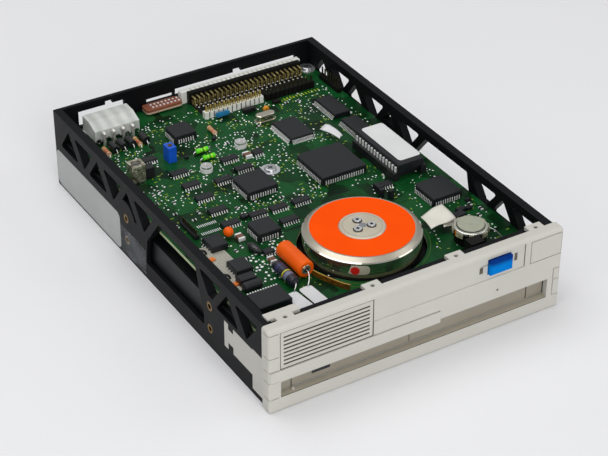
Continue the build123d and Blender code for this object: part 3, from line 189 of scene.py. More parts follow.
def surface(name, dark, light, roughness, blotch_mm=14.0, grain_mm=0.5, grain_depth_mm=0.01,
            metallic=0.0, rough_spread=0.06, ior=1.5, specular=0.5, coat=0.0, contrast=1.0):
    """A finish whose tone drifts slowly and whose skin has a fine grain."""
    # A grain too fine for the picture is drawn as coarse as it needs to show.
    material, tree, shader = new_material(name)
    place = add(tree, "ShaderNodeTexCoord").outputs["Object"]
    drift = add(tree, "ShaderNodeTexNoise", {"Vector": place, "Scale": millimetres(blotch_mm), "Detail": 3.0})
    share = add(tree, "ShaderNodeMapRange", {"Value": drift.outputs["Fac"], "From Min": 0.5 - 0.5 / contrast,
                                             "From Max": 0.5 + 0.5 / contrast})
    tone = add(tree, "ShaderNodeMix",
               {"Factor": share.outputs["Result"], "A": linear(dark), "B": linear(light)}, data_type="RGBA")
    rough = add(tree, "ShaderNodeMapRange",
                {"Value": drift.outputs["Fac"], "To Min": roughness - rough_spread,
                 "To Max": roughness + rough_spread})
    grain = add(tree, "ShaderNodeTexNoise", {"Vector": place, "Scale": millimetres(grain_mm), "Detail": 2.0})
    bump = add(tree, "ShaderNodeBump", {"Height": grain.outputs["Fac"], "Distance": grain_depth_mm / 1000.0})
    tree.links.new(tone.outputs["Result"], shader.inputs["Base Color"])
    tree.links.new(rough.outputs["Result"], shader.inputs["Roughness"])
    tree.links.new(bump.outputs["Normal"], shader.inputs["Normal"])
    if metallic:
        shader.inputs["Metallic"].default_value = metallic
    else:
        shader.inputs["IOR"].default_value = ior
        shader.inputs["Specular IOR Level"].default_value = specular
    shader.inputs["Coat Weight"].default_value = coat
    shader.inputs["Coat Roughness"].default_value = 0.15
    return material


def dress(material, *names):
    """Gives CAD nodes their finish."""
    for name in names:
        mesh = nodes[name].data
        mesh.materials.clear()
        mesh.materials.append(material)


frame_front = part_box("chassis_frame")[0].y


def spot(x, y, z):
    """A place in millimetres, with y counted from the bezel's back, as a place in the frame."""
    return Vector((x / 1000, frame_front + y / 1000, z / 1000))


def on_body(piece, body="drive"):
    """Fixes a piece to a moving body of the drive."""
    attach(piece, body)
    return piece


def rounded(width, depth, radius):
    """Outline of a rectangle with round corners about its own centre, in millimetres."""
    outline, steps = [], 5
    for quarter in range(4):
        centre_x = (width / 2 - radius) * (1 if quarter in (0, 3) else -1)
        centre_y = (depth / 2 - radius) * (1 if quarter in (0, 1) else -1)
        for step in range(steps + 1):
            angle = math.radians(90 * (quarter + step / steps))
            outline.append((centre_x + radius * math.cos(angle), centre_y + radius * math.sin(angle)))
    return outline


def outwards(mesh):
    """Turns the faces of a closed mesh to the outside."""
    shell = bmesh.new()
    shell.from_mesh(mesh)
    bmesh.ops.recalc_face_normals(shell, faces=shell.faces)
    shell.to_mesh(mesh)
    shell.free()


def sheet_piece(name, outline, place, thickness, finish):
    """A thin closed sheet. place turns the outline's x and y and a height into a place in the frame."""
    count = len(outline)
    low = [place(u, v, 0.0) for u, v in outline]
    high = [place(u, v, thickness) for u, v in outline]
    sides = [(i, (i + 1) % count, count + (i + 1) % count, count + i) for i in range(count)]
    faces = [tuple(reversed(range(count))), tuple(range(count, 2 * count))] + sides
    piece = mesh_piece(name, low + high, faces, finish)
    outwards(piece.data)
    return on_body(piece)


# Glass-filled polycarbonate has a fine spark-eroded grain and a bluish sheen where light grazes it.
frame_black = surface("black_polycarbonate", "#08090B", "#101114", 0.5, blotch_mm=30, grain_mm=0.35,
                      grain_depth_mm=0.02, ior=1.46, specular=0.12)
dress(frame_black, "chassis_frame")
# Turned brass inserts are pressed into the moulding and catch the light as thin rings.
insert_brass = surface("turned_brass", "#5C441C", "#A07C40", 0.34, blotch_mm=2.0, grain_mm=0.2,
                       grain_depth_mm=0.01, metallic=1.0, contrast=2.0)
dress(insert_brass, "thread_inserts")
# The bottom plate and the screws are zinc-plated steel, satin and slightly cloudy.
zinc_steel = surface("zinc_plated_steel", "#A9ABAD", "#D2D3D5", 0.34, blotch_mm=18, grain_mm=0.3,
                     grain_depth_mm=0.006, metallic=1.0)
dress(zinc_steel, "bottom_cover", "cover_screws")

# The side plate is metallised polyester: pale grey, faintly cloudy and scuffed along its length.
plate_foil = surface("metallised_polyester", "#A0A4A1", "#B8BCB9", 0.42, blotch_mm=11, grain_mm=1.6,
                     grain_depth_mm=0.01, metallic=0.35, rough_spread=0.12)
left_wall = -73.0
plate_y, plate_z, plate_thickness = (133.5, 202.3), (1.0, 20.5), 0.12
plate_middle = (sum(plate_y) / 2, sum(plate_z) / 2)
sheet_piece("side_plate", rounded(plate_y[1] - plate_y[0], plate_z[1] - plate_z[0], 3.0),
            lambda u, v, h: spot(left_wall - h, plate_middle[0] + u, plate_middle[1] + v),
            plate_thickness, plate_foil)
# A clear protective film sticks out in front of the plate and shines over the black wall.
film_material, film_tree, film_shader = new_material("clear_polyester_film")
film_place = add(film_tree, "ShaderNodeTexCoord").outputs["Object"]
film_cloud = add(film_tree, "ShaderNodeTexNoise", {"Vector": film_place, "Scale": millimetres(14.0),
                                                   "Detail": 1.0})
film_rough = add(film_tree, "ShaderNodeMapRange", {"Value": film_cloud.outputs["Fac"], "To Min": 0.12,
                                                   "To Max": 0.32})
film_tone = add(film_tree, "ShaderNodeMix",
                {"Factor": film_cloud.outputs["Fac"], "A": linear("#8F969C"), "B": linear("#B4BBC0")},
                data_type="RGBA")
film_tree.links.new(film_rough.outputs["Result"], film_shader.inputs["Roughness"])
film_tree.links.new(film_tone.outputs["Result"], film_shader.inputs["Base Color"])
film_alpha = add(film_tree, "ShaderNodeMapRange",
                 {"Value": film_cloud.outputs["Fac"], "From Min": 0.35, "From Max": 0.65, "To Min": 0.06,
                  "To Max": 0.18})
film_tree.links.new(film_alpha.outputs["Result"], film_shader.inputs["Alpha"])
film_y, film_z, film_thickness, film_gap = (108.0, 133.3), (1.6, 15.6), 0.06, 0.02
sheet_piece("plate_film", rounded(film_y[1] - film_y[0], film_z[1] - film_z[0], 1.2),
            lambda u, v, h: spot(left_wall - film_gap - h, sum(film_y) / 2 + u, sum(film_z) / 2 + v),
            film_thickness, film_material)

# Deck and optical carriage
# A black-coated casting roofs the cartridge bay. The carriage below it runs on two ground rails
# between steel yokes, and carries the lens.
deck_black = surface("black_epoxy_coat", "#0B0C0E", "#141619", 0.5, blotch_mm=24, grain_mm=0.6,
                     grain_depth_mm=0.03, specular=0.35)
dress(deck_black, "mechanism_deck")
# Cast and machined aluminium is warm grey with a soft satin gloss.
satin_alloy = surface("machined_aluminium", "#A39E94", "#BDB8AE", 0.36, blotch_mm=9, grain_mm=0.25,
                      grain_depth_mm=0.006, metallic=0.9)
dress(satin_alloy, "optical_sled", "motor_base")
# Ground rods and races show a tight bright highlight.
ground_steel = surface("ground_steel", "#A9ABAE", "#C6C8CA", 0.22, blotch_mm=6, grain_mm=0.2,
                       grain_depth_mm=0.004, metallic=1.0)
dress(ground_steel, "sled_rails", "spindle", "motor_bearings")
# Stamped core plates are darker, with an oiled, half-dull skin.
lamination_steel = surface("core_steel", "#54575B", "#6B6E72", 0.45, blotch_mm=7, grain_mm=0.4,
                           grain_depth_mm=0.02, metallic=0.9)
dress(lamination_steel, "sled_yokes", "motor_stator")
# Moulded nylon is a plain black with a soft broad gloss.
black_moulding = surface("black_nylon", "#0D0D0F", "#17171A", 0.45, blotch_mm=9, grain_mm=0.4,
                         grain_depth_mm=0.015)
dress(black_moulding, "objective_lens")
# Glass-filled polyester is flatter and a touch browner than the nylon.
matt_black = surface("matt_black_polyester", "#070706", "#12110E", 0.55, blotch_mm=4, grain_mm=0.4,
                     specular=0.15)
dress(matt_black, "eject_switch")

# Circuit board
# Glass laminate under green solder mask, drilled and tinned at every joint. Its sawn edge is bare
# pale laminate, which shows through the side walls' windows.
board_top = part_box("circuit_board")[1].z * 1000
# The mask is a thin clear green lacquer: deep green over laminate, lighter over the tracks and copper
# fields below it, which run in cells of about this size, each routed one way.
routing_cell, track_pitch, track_share = 9.0, 1.1, 0.4
board_green, board_tree, board_shader = new_material("green_solder_mask")
board_coords = add(board_tree, "ShaderNodeTexCoord")
board_place = board_coords.outputs["Object"]
board_axes = add(board_tree, "ShaderNodeSeparateXYZ", {"Vector": board_place})
board_cells = add(board_tree, "ShaderNodeTexVoronoi",
                  {"Vector": board_place, "Scale": millimetres(routing_cell), "Randomness": 0.9},
                  feature="F1", distance="CHEBYCHEV")
cell_pick = add(board_tree, "ShaderNodeSeparateColor", {"Color": board_cells.outputs["Color"]})


def track_lines(axis, pitch_mm, width_share):
    """Parallel tracks across one axis, 1 on a track and 0 between them."""
    steps = add(board_tree, "ShaderNodeMath", {0: axis, 1: millimetres(pitch_mm)}, operation="MULTIPLY")
    part = add(board_tree, "ShaderNodeMath", {0: steps.outputs[0]}, operation="FRACT")
    return add(board_tree, "ShaderNodeMath", {0: part.outputs[0], 1: width_share},
               operation="LESS_THAN").outputs[0]


across = track_lines(board_axes.outputs["X"], track_pitch, track_share)
along = track_lines(board_axes.outputs["Y"], track_pitch, track_share)
turned = add(board_tree, "ShaderNodeMath", {0: cell_pick.outputs["Red"], 1: 0.5}, operation="GREATER_THAN")
tracks = add(board_tree, "ShaderNodeMix", {"Factor": turned.outputs[0], "A": across, "B": along},
             data_type="FLOAT")
routed = add(board_tree, "ShaderNodeMath", {0: cell_pick.outputs["Green"], 1: 0.45}, operation="GREATER_THAN")
track_mask = add(board_tree, "ShaderNodeMath", {0: tracks.outputs[0], 1: routed.outputs[0]},
                 operation="MULTIPLY")
board_cloud = add(board_tree, "ShaderNodeTexNoise",
                  {"Vector": board_place, "Scale": millimetres(30.0), "Detail": 3.0})
plane_edge = add(board_tree, "ShaderNodeMath", {0: cell_pick.outputs["Blue"], 1: 0.35}, operation="MULTIPLY")
plane_tone = add(board_tree, "ShaderNodeMath", {0: board_cloud.outputs["Fac"], 1: plane_edge.outputs[0]},
                 operation="SUBTRACT")
plane_share = add(board_tree, "ShaderNodeMapRange", {"Value": plane_tone.outputs[0], "From Min": 0.1,
                                                     "From Max": 0.5})
mask_green = add(board_tree, "ShaderNodeMix",
                 {"Factor": plane_share.outputs["Result"], "A": linear("#041206"), "B": linear("#0B401B")},
                 data_type="RGBA")
copper_green = add(board_tree, "ShaderNodeMix",
                   {"Factor": track_mask.outputs[0], "A": mask_green.outputs["Result"],
                    "B": linear("#155C2A")},
                   data_type="RGBA")
board_normal = add(board_tree, "ShaderNodeSeparateXYZ", {"Vector": board_coords.outputs["Normal"]})
sawn_edge = add(board_tree, "ShaderNodeMath", {0: board_normal.outputs["Z"]}, operation="ABSOLUTE")
sawn_mask = add(board_tree, "ShaderNodeMath", {0: sawn_edge.outputs[0], 1: 0.5}, operation="LESS_THAN")
board_colour = add(board_tree, "ShaderNodeMix",
                   {"Factor": sawn_mask.outputs[0], "A": copper_green.outputs["Result"],
                    "B": linear("#A9B98C")},
                   data_type="RGBA")
board_bump = add(board_tree, "ShaderNodeBump", {"Height": track_mask.outputs[0], "Distance": 0.00003})
board_tree.links.new(board_colour.outputs["Result"], board_shader.inputs["Base Color"])
board_tree.links.new(board_bump.outputs["Normal"], board_shader.inputs["Normal"])
board_shader.inputs["Roughness"].default_value = 0.3
board_shader.inputs["Specular IOR Level"].default_value = 0.12
dress(board_green, "circuit_board")


def shape_tree(name, sizes):
    """A Geometry Nodes tree with a guide mesh in, a mesh out and named inputs for its sizes."""
    tree = bpy.data.node_groups.new(name, "GeometryNodeTree")
    tree.interface.new_socket("Guide", in_out="INPUT", socket_type="NodeSocketGeometry")
    for label, kind in sizes.items():
        tree.interface.new_socket(label, in_out="INPUT", socket_type="NodeSocket" + kind)
    tree.interface.new_socket("Mesh", in_out="OUTPUT", socket_type="NodeSocketGeometry")
    return tree, add(tree, "NodeGroupInput").outputs


def end_tree(tree, geometry, finish):
    """Turns the copies into one mesh with its finish at the end of a tree."""
    solid = add(tree, "GeometryNodeRealizeInstances", {"Geometry": geometry})
    painted = add(tree, "GeometryNodeSetMaterial", {"Geometry": solid.outputs[0], "Material": finish})
    add(tree, "NodeGroupOutput", {"Mesh": painted.outputs[0]})


def grow(name, tree, guide, slot, **sizes):
    """Runs a tree on a guide, given as vertices, edges and faces, and keeps what it makes as a mesh."""
    piece = mesh_piece(name, guide[0], guide[2], edges=guide[1])
    growth = piece.modifiers.new("growth", "NODES")
    growth.node_group = tree
    for socket in tree.interface.items_tree:
        if socket.in_out == "INPUT" and socket.name in sizes:
            growth[socket.identifier] = sizes[socket.name]
    bpy.context.view_layer.update()
    evaluated = piece.evaluated_get(bpy.context.evaluated_depsgraph_get())
    made = bpy.data.meshes.new_from_object(evaluated)
    piece.modifiers.clear()
    piece.data = made
    return on_body(piece)


# Tinned joints stand a little proud of the mask, scattered as densely as on the real board. Freshly
# wetted solder is almost white, with a broad soft gloss.
bright_solder = surface("bright_solder", "#DADCDB", "#F4F5F4", 0.32, blotch_mm=1.2, grain_mm=0.2,
                        grain_depth_mm=0.01, metallic=0.2)
scatter_sizes = {"Spacing": "Float", "Amount": "Float", "Seed": "Int", "Hole": "Vector",
                 "Hole Radius": "Float", "Cluster": "Float", "Cluster Scale": "Float", "Finish": "Material"}


def sown_points(tree, sizes):
    """Points sown on the guide, kept in clusters and off the round hole for the motor."""
    sown = add(tree, "GeometryNodeDistributePointsOnFaces",
               {"Mesh": sizes["Guide"], "Distance Min": sizes["Spacing"], "Density Max": sizes["Amount"],
                "Seed": sizes["Seed"]}, distribute_method="POISSON")
    place = add(tree, "GeometryNodeInputPosition").outputs[0]
    from_hole = add(tree, "ShaderNodeVectorMath", {0: place, 1: sizes["Hole"]}, operation="DISTANCE")
    in_hole = add(tree, "FunctionNodeCompare", {"A": from_hole.outputs["Value"], "B": sizes["Hole Radius"]},
                  operation="LESS_THAN")
    clusters = add(tree, "ShaderNodeTexNoise", {"Vector": place, "Scale": sizes["Cluster Scale"],
                                                "Detail": 1.0})
    sparse = add(tree, "FunctionNodeCompare", {"A": clusters.outputs["Fac"], "B": sizes["Cluster"]},
                 operation="LESS_THAN")
    unwanted = add(tree, "FunctionNodeBooleanMath", {0: in_hole.outputs[0], 1: sparse.outputs[0]},
                   operation="OR")
    return add(tree, "GeometryNodeDeleteGeometry",
               {"Geometry": sown.outputs["Points"], "Selection": unwanted.outputs[0]},
               domain="POINT").outputs[0]


scatter, sizes_in = shape_tree("scattered_joints", scatter_sizes | {"Radius": "Float", "Height": "Float"})
joint_top = add(scatter, "ShaderNodeMath", {0: sizes_in["Radius"], 1: 0.5}, operation="MULTIPLY")
joint = add(scatter, "GeometryNodeMeshCone",
            {"Vertices": 8, "Radius Top": joint_top.outputs[0], "Radius Bottom": sizes_in["Radius"],
             "Depth": sizes_in["Height"]})
joint_size = add(scatter, "FunctionNodeRandomValue", {"Min": 0.6, "Max": 1.25, "Seed": sizes_in["Seed"]},
                 data_type="FLOAT")
sown_joints = add(scatter, "GeometryNodeInstanceOnPoints",
                  {"Points": sown_points(scatter, sizes_in), "Instance": joint.outputs["Mesh"],
                   "Scale": joint_size.outputs["Value"]})
end_tree(scatter, sown_joints.outputs[0], sizes_in["Finish"])


def board_fields(*fields):
    """Guide mesh of rectangles on the board: left, right, front and rear of each."""
    vertices, faces = [], []
    for left, right, front, rear in fields:
        first = len(vertices)
        vertices += [spot(left, front, board_top), spot(right, front, board_top),
                     spot(right, rear, board_top), spot(left, rear, board_top)]
        faces.append((first, first + 1, first + 2, first + 3))
    return vertices, [], faces


motor_x, motor_y, motor_hole = 3.2, 46.0, 27.5
motor_axis = spot(motor_x, motor_y, board_top)
middle_fields = board_fields((-42, 64, 86, 188), (-62, -42, 98, 188))
left_fields = board_fields((-42, -22, 28, 86), (-62, -55.5, 78, 98), (-55.5, -42, 78, 85))
driver_fields = board_fields((-50, -38, 42, 74), (-33, -24, 60, 84))
right_field = board_fields((30, 66, 12, 84))
# Each row is the field, the least spacing in metres, the number on a square metre, the seed and the
# joints' radius in metres.
for title, fields, spacing, amount, seed, radius in (
        ("joints_middle", middle_fields, 0.0013, 140000.0, 3, 0.00042),
        ("joints_left", left_fields, 0.0018, 90000.0, 8, 0.0004),
        ("joints_right", right_field, 0.0016, 80000.0, 5, 0.00042),
        ("joints_drivers", driver_fields, 0.0015, 320000.0, 12, 0.0006)):
    grow(title, scatter, fields, "tin_pins", Spacing=spacing, Amount=amount, Seed=seed, Radius=radius,
         Height=0.00014, Hole=motor_axis, **{"Hole Radius": motor_hole / 1000, "Cluster": 0.44,
                                              "Cluster Scale": 60.0, "Finish": bright_solder})

# Bare copper under thin mask shows yellow-green in short pads between the parts.
thin_mask = surface("copper_under_mask", "#6F8A14", "#A9BC2E", 0.35, blotch_mm=2.0, grain_mm=0.3,
                    grain_depth_mm=0.01)
pads, pad_in = shape_tree("scattered_pads", scatter_sizes | {"Size": "Vector"})
pad_bar = add(pads, "GeometryNodeMeshCube", {"Size": pad_in["Size"]})
quarter = add(pads, "FunctionNodeRandomValue", {"Seed": pad_in["Seed"]}, data_type="INT")
quarter.inputs[4].default_value = 0
quarter.inputs[5].default_value = 1
quarter_turn = add(pads, "ShaderNodeMath", {0: quarter.outputs[2], 1: math.pi / 2}, operation="MULTIPLY")
pad_turn = add(pads, "ShaderNodeCombineXYZ", {"Z": quarter_turn.outputs[0]})
pad_scale = add(pads, "FunctionNodeRandomValue", {"Seed": pad_in["Seed"]}, data_type="FLOAT_VECTOR")
pad_scale.inputs[0].default_value = (0.5, 0.7, 1.0)
pad_scale.inputs[1].default_value = (1.6, 1.2, 1.0)
laid_pads = add(pads, "GeometryNodeInstanceOnPoints",
                {"Points": sown_points(pads, pad_in), "Instance": pad_bar.outputs["Mesh"],
                 "Rotation": pad_turn.outputs[0], "Scale": pad_scale.outputs[0]})
end_tree(pads, laid_pads.outputs[0], pad_in["Finish"])
for title, fields, spacing, amount, seed in (
        ("pads_middle", middle_fields, 0.0014, 90000.0, 21),
        ("pads_left", board_fields((-42, -22, 22, 86), (-62, -55.5, 78, 98)), 0.0015, 70000.0, 23),
        ("pads_right", right_field, 0.002, 45000.0, 27)):
    grow(title, pads, fields, "board_green", Spacing=spacing, Amount=amount, Seed=seed,
         Size=(0.0012, 0.00042, 0.00012), Hole=motor_axis,
         **{"Hole Radius": motor_hole / 1000, "Cluster": 0.5, "Cluster Scale": 90.0, "Finish": thin_mask})

# Board screws
# Cross-headed steel screws on large stamped washers hold the board to its posts. The washers are
# nickel-plated, and bridge the board's wide holes.
dress(zinc_steel, "board_screws")


def sectioned_piece(name, runs, finish, body="drive", closed=False):
    """A solid through four-cornered sections. A run of sections closes to a loop or ends in two faces."""
    vertices, faces = [], []
    for run in runs:
        first, count = len(vertices), len(run)
        vertices += [corner for section in run for corner in section]
        for step in range(count if closed else count - 1):
            here, after = first + 4 * step, first + 4 * ((step + 1) % count)
            for edge in range(4):
                following = (edge + 1) % 4
                faces.append((here + edge, after + edge, after + following, here + following))
        if not closed:
            last = first + 4 * (count - 1)
            faces += [(first, first + 1, first + 2, first + 3), (last + 3, last + 2, last + 1, last)]
    piece = mesh_piece(name, vertices, faces, finish)
    outwards(piece.data)
    return on_body(piece, body)


def arc_sections(centre, inner, outer, low, high, angles):
    """Sections of a flat arc about a vertical axis, one at each angle. Sizes in millimetres."""
    edges = ((outer, low), (outer, high), (inner, high), (inner, low))
    return [[spot(centre[0] + radius * math.cos(angle), centre[1] + radius * math.sin(angle), z)
             for radius, z in edges] for angle in angles]


def ring(name, centre, inner, outer, low, high, finish, body="drive", sides=40):
    """A flat ring about a vertical axis. Sizes in millimetres."""
    angles = [2 * math.pi * step / sides for step in range(sides)]
    sections = arc_sections(centre, inner, outer, low, high, angles)
    return sectioned_piece(name, [sections], finish, body, closed=True)


def millimetre_place(corner):
    """A place in the frame as millimetres, with y counted from the bezel's back."""
    return corner.x * 1000, (corner.y - frame_front) * 1000, corner.z * 1000


def limits(name):
    """Low and high corner of a CAD node, in millimetres."""
    return [millimetre_place(corner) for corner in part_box(name)]


def solids_of(name):
    """Low and high corner, in millimetres, of each separate solid of a node, from front to rear."""
    copy = bmesh.new()
    copy.from_mesh(nodes[name].data)
    bmesh.ops.remove_doubles(copy, verts=copy.verts, dist=1e-6)
    seen_vertices, boxes = set(), []
    for start in copy.verts:
        if start in seen_vertices:
            continue
        seen_vertices.add(start)
        waiting, places = [start], []
        while waiting:
            vertex = waiting.pop()
            places.append(millimetre_place(vertex.co))
            for edge in vertex.link_edges:
                other = edge.other_vert(vertex)
                if other not in seen_vertices:
                    seen_vertices.add(other)
                    waiting.append(other)
        boxes.append((tuple(map(min, zip(*places))), tuple(map(max, zip(*places)))))
    copy.free()
    return sorted(boxes, key=lambda box: (box[0][1], box[0][0]))


def middle(box):
    """The centre of a box given by its low and high corner."""
    return [(low + high) / 2 for low, high in zip(*box)]


def box_faces(first=0):
    """Faces of a box with its four low corners first and then the four high ones, both turned left."""
    cells = [(3, 2, 1, 0), (4, 5, 6, 7), (0, 1, 5, 4), (1, 2, 6, 5), (2, 3, 7, 6), (3, 0, 4, 7)]
    return [tuple(first + i for i in cell) for cell in cells]


def boxes_piece(name, boxes, finish, body="drive", bevel=0.0):
    """One piece of many small blocks, each a centre, a size and a turn about the vertical."""
    vertices, faces = [], []
    for (x, y, z), (width, depth, height), turn in boxes:
        cosine, sine = math.cos(math.radians(turn)), math.sin(math.radians(turn))
        first = len(vertices)
        for level in (-height / 2, height / 2):
            for u, v in ((-1, -1), (1, -1), (1, 1), (-1, 1)):
                du, dv = u * width / 2, v * depth / 2
                vertices.append(spot(x + du * cosine - dv * sine, y + du * sine + dv * cosine, z + level))
        faces += box_faces(first)
    piece = mesh_piece(name, vertices, faces, finish)
    if bevel:
        shell = bmesh.new()
        shell.from_mesh(piece.data)
        bmesh.ops.bevel(shell, geom=shell.edges, offset=bevel / 1000, segments=2, affect="EDGES")
        shell.to_mesh(piece.data)
        shell.free()
    return on_body(piece, body)


# Bright nickel on the large washers, almost white from above.
stamped_washer = surface("bright_nickel_washer", "#CFD1D2", "#F0F1F2", 0.26, blotch_mm=3, grain_mm=0.3,
                         grain_depth_mm=0.004, metallic=0.85)
# Recesses, hollows and narrow gaps hold no light, so they are drawn as a dull near-black.
recess_dark = surface("screw_recess_shadow", "#15161A", "#24262B", 0.6, blotch_mm=1.0, grain_mm=0.3)
washer_bore, washer_rim, washer_thickness = 2.95, 4.7, 0.55
# Each screw's cross is drawn as two dark bars on its head, painted shade in the recess.
recesses = []
for index, box in enumerate(solids_of("board_screws")):
    x, y, _ = middle(box)
    ring(f"screw_washer_{index}", (x, y), washer_bore, washer_rim, board_top, board_top + washer_thickness,
         stamped_washer)
    for turn in (20, 110):
        recesses.append(((x, y, box[1][2] - 0.1), (2.6, 0.6, 0.3), turn))
boxes_piece("board_screw_recesses", recesses, recess_dark)

# Connectors at the rear
# Natural nylon makes the power housing, white polyester the ribbon connector and the sockets, and
# brown phenolic the jumper block. The strips beside them are black. Every pin is gold or tin plated
# and soldered into the board.

# Nylon is milky, so light enters it and softens its edges.
nylon_low, nylon_high = limits("power_connector")
natural_nylon, nylon_tree, nylon_shader = new_material("natural_nylon")
nylon_place = add(nylon_tree, "ShaderNodeTexCoord").outputs["Object"]
nylon_axes = add(nylon_tree, "ShaderNodeSeparateXYZ", {"Vector": nylon_place})
# The four contact chambers show through the milky wall, and their recessed tops hold soft shade; both are
# painted as darker bands.
chambers = 4
nylon_from = add(nylon_tree, "ShaderNodeMath", {0: nylon_axes.outputs["X"], 1: nylon_low[0] / 1000},
                 operation="SUBTRACT")
nylon_step = add(nylon_tree, "ShaderNodeMath",
                 {0: nylon_from.outputs[0], 1: 2000 * chambers * math.pi / (nylon_high[0] - nylon_low[0])},
                 operation="MULTIPLY")
nylon_cell_shade = add(nylon_tree, "ShaderNodeMath", {0: nylon_step.outputs[0]}, operation="COSINE")
nylon_cloud = add(nylon_tree, "ShaderNodeTexNoise", {"Vector": nylon_place, "Scale": millimetres(5.0),
                                                     "Detail": 3.0})
nylon_share = add(nylon_tree, "ShaderNodeMath",
                  {0: nylon_cell_shade.outputs[0], 1: 0.3, 2: nylon_cloud.outputs["Fac"]}, operation="MULTIPLY_ADD")
nylon_tone = add(nylon_tree, "ShaderNodeMix",
                 {"Factor": nylon_share.outputs[0], "A": linear("#A7ABA6"), "B": linear("#CBCEC8")},
                 data_type="RGBA")
nylon_tree.links.new(nylon_tone.outputs["Result"], nylon_shader.inputs["Base Color"])
nylon_shader.inputs["Roughness"].default_value = 0.38
nylon_shader.inputs["Subsurface Weight"].default_value = 0.25
nylon_shader.inputs["Subsurface Scale"].default_value = 0.004
nylon_shader.inputs["Subsurface Radius"].default_value = (1.0, 1.0, 0.9)
dress(natural_nylon, "power_connector")
# Filled polyester is opaque and a little creamier than the nylon.
white_polyester = surface("white_polyester", "#D8D9D0", "#E8E9E2", 0.4, blotch_mm=8, grain_mm=0.5,
                          grain_depth_mm=0.01)
dress(white_polyester, "signal_header", "terminator_sockets")
# The jumper block is red-brown above a paler base, with a faint mottle.
base_height = 1.9
brown_phenolic, brown_tree, brown_shader = new_material("brown_phenolic_on_cream_base")
brown_place = add(brown_tree, "ShaderNodeTexCoord").outputs["Object"]
brown_height = add(brown_tree, "ShaderNodeSeparateXYZ", {"Vector": brown_place})
brown_layer = add(brown_tree, "ShaderNodeMath", {0: brown_height.outputs["Z"],
                                                 1: (board_top + base_height) / 1000},
                  operation="GREATER_THAN")
brown_cloud = add(brown_tree, "ShaderNodeTexNoise", {"Vector": brown_place, "Scale": millimetres(4.0),
                                                     "Detail": 3.0})
brown_tone = add(brown_tree, "ShaderNodeMix",
                 {"Factor": brown_cloud.outputs["Fac"], "A": linear("#74402C"), "B": linear("#8E5540")},
                 data_type="RGBA")
brown_mix = add(brown_tree, "ShaderNodeMix",
                {"Factor": brown_layer.outputs[0], "A": linear("#C3A892"), "B": brown_tone.outputs["Result"]},
                data_type="RGBA")
brown_tree.links.new(brown_mix.outputs["Result"], brown_shader.inputs["Base Color"])
brown_shader.inputs["Roughness"].default_value = 0.4
dress(brown_phenolic, "jumper_block")
dress(matt_black, "dark_strips")
# A thin black sheet on the board under the connector's pins is painted shade, standing in for the shade the
# pins cast there.
header_x, pin_pitch = 27.9, 2.54
boxes_piece("pin_insulator", [((header_x, 188.4, board_top + 0.04), (63.0, 17.0, 0.08), 0)], matt_black)
# Gold on the square pins is painted in small blotches from deep brown to pale yellow: painted highlights and
# painted shade for the flashes and dark faces the pins show.
gold_plate_painted_glints = surface("gold_plate_painted_glints", "#2C1B00", "#FFEC9C", 0.22, blotch_mm=0.8, grain_mm=0.3,
                     grain_depth_mm=0.004, metallic=0.6, contrast=2.6)
dress(gold_plate_painted_glints, "signal_pins")
# Posts in the white sockets are gold, and those of the dark strips are drawn almost black.
# The gold ones stand between these two places across the drive, in metres.
gilt_from, gilt_to = -0.02, 0.0295
post_plate, post_tree, post_shader = new_material("gold_and_near_black_posts")
post_place = add(post_tree, "ShaderNodeTexCoord").outputs["Object"]
post_axes = add(post_tree, "ShaderNodeSeparateXYZ", {"Vector": post_place})
post_left = add(post_tree, "ShaderNodeMath", {0: post_axes.outputs["X"], 1: gilt_from},
                operation="GREATER_THAN")
post_right = add(post_tree, "ShaderNodeMath", {0: post_axes.outputs["X"], 1: gilt_to}, operation="LESS_THAN")
post_gilt = add(post_tree, "ShaderNodeMath", {0: post_left.outputs[0], 1: post_right.outputs[0]},
                operation="MULTIPLY")
post_cloud = add(post_tree, "ShaderNodeTexNoise", {"Vector": post_place, "Scale": millimetres(1.6),
                                                   "Detail": 2.0})
post_gold = add(post_tree, "ShaderNodeMix",
                {"Factor": post_cloud.outputs["Fac"], "A": linear("#6E4C10"), "B": linear("#FFE48A")},
                data_type="RGBA")
post_dark = add(post_tree, "ShaderNodeMix",
                {"Factor": post_cloud.outputs["Fac"], "A": linear("#15160F"), "B": linear("#4A4526")},
                data_type="RGBA")
post_tone = add(post_tree, "ShaderNodeMix",
                {"Factor": post_gilt.outputs[0], "A": post_dark.outputs["Result"],
                 "B": post_gold.outputs["Result"]},
                data_type="RGBA")
post_tree.links.new(post_tone.outputs["Result"], post_shader.inputs["Base Color"])
post_shader.inputs["Metallic"].default_value = 0.55
post_shader.inputs["Roughness"].default_value = 0.32
dress(post_plate, "test_posts")
# Dull tin plate is a soft warm grey with small bright spots.
tinned = surface("tin_plate", "#C4C2BB", "#E8E6E0", 0.34, blotch_mm=2.0, grain_mm=0.25, grain_depth_mm=0.006,
                 metallic=0.7)
dress(tinned, "power_pins")

# Rows of leads: a lead is copied at every pitch along straight lines and turned to their way.
rows, row_in = shape_tree("rows_of_leads", {"Lead": "Object", "Pitch": "Float", "Finish": "Material"})
row_line = add(rows, "GeometryNodeMeshToCurve", {"Mesh": row_in["Guide"]})
row_steps = add(rows, "GeometryNodeResampleCurve", {"Curve": row_line.outputs[0], "Length": row_in["Pitch"]},
                mode="LENGTH")
row_tangent = add(rows, "GeometryNodeInputTangent")
row_turn = add(rows, "FunctionNodeAlignRotationToVector", {"Vector": row_tangent.outputs[0]}, axis="X",
               pivot_axis="Z")
row_lead = add(rows, "GeometryNodeObjectInfo", {"Object": row_in["Lead"]})
row_copies = add(rows, "GeometryNodeInstanceOnPoints",
                 {"Points": row_steps.outputs[0], "Instance": row_lead.outputs["Geometry"],
                  "Rotation": row_turn.outputs[0]})
end_tree(rows, row_copies.outputs[0], row_in["Finish"])


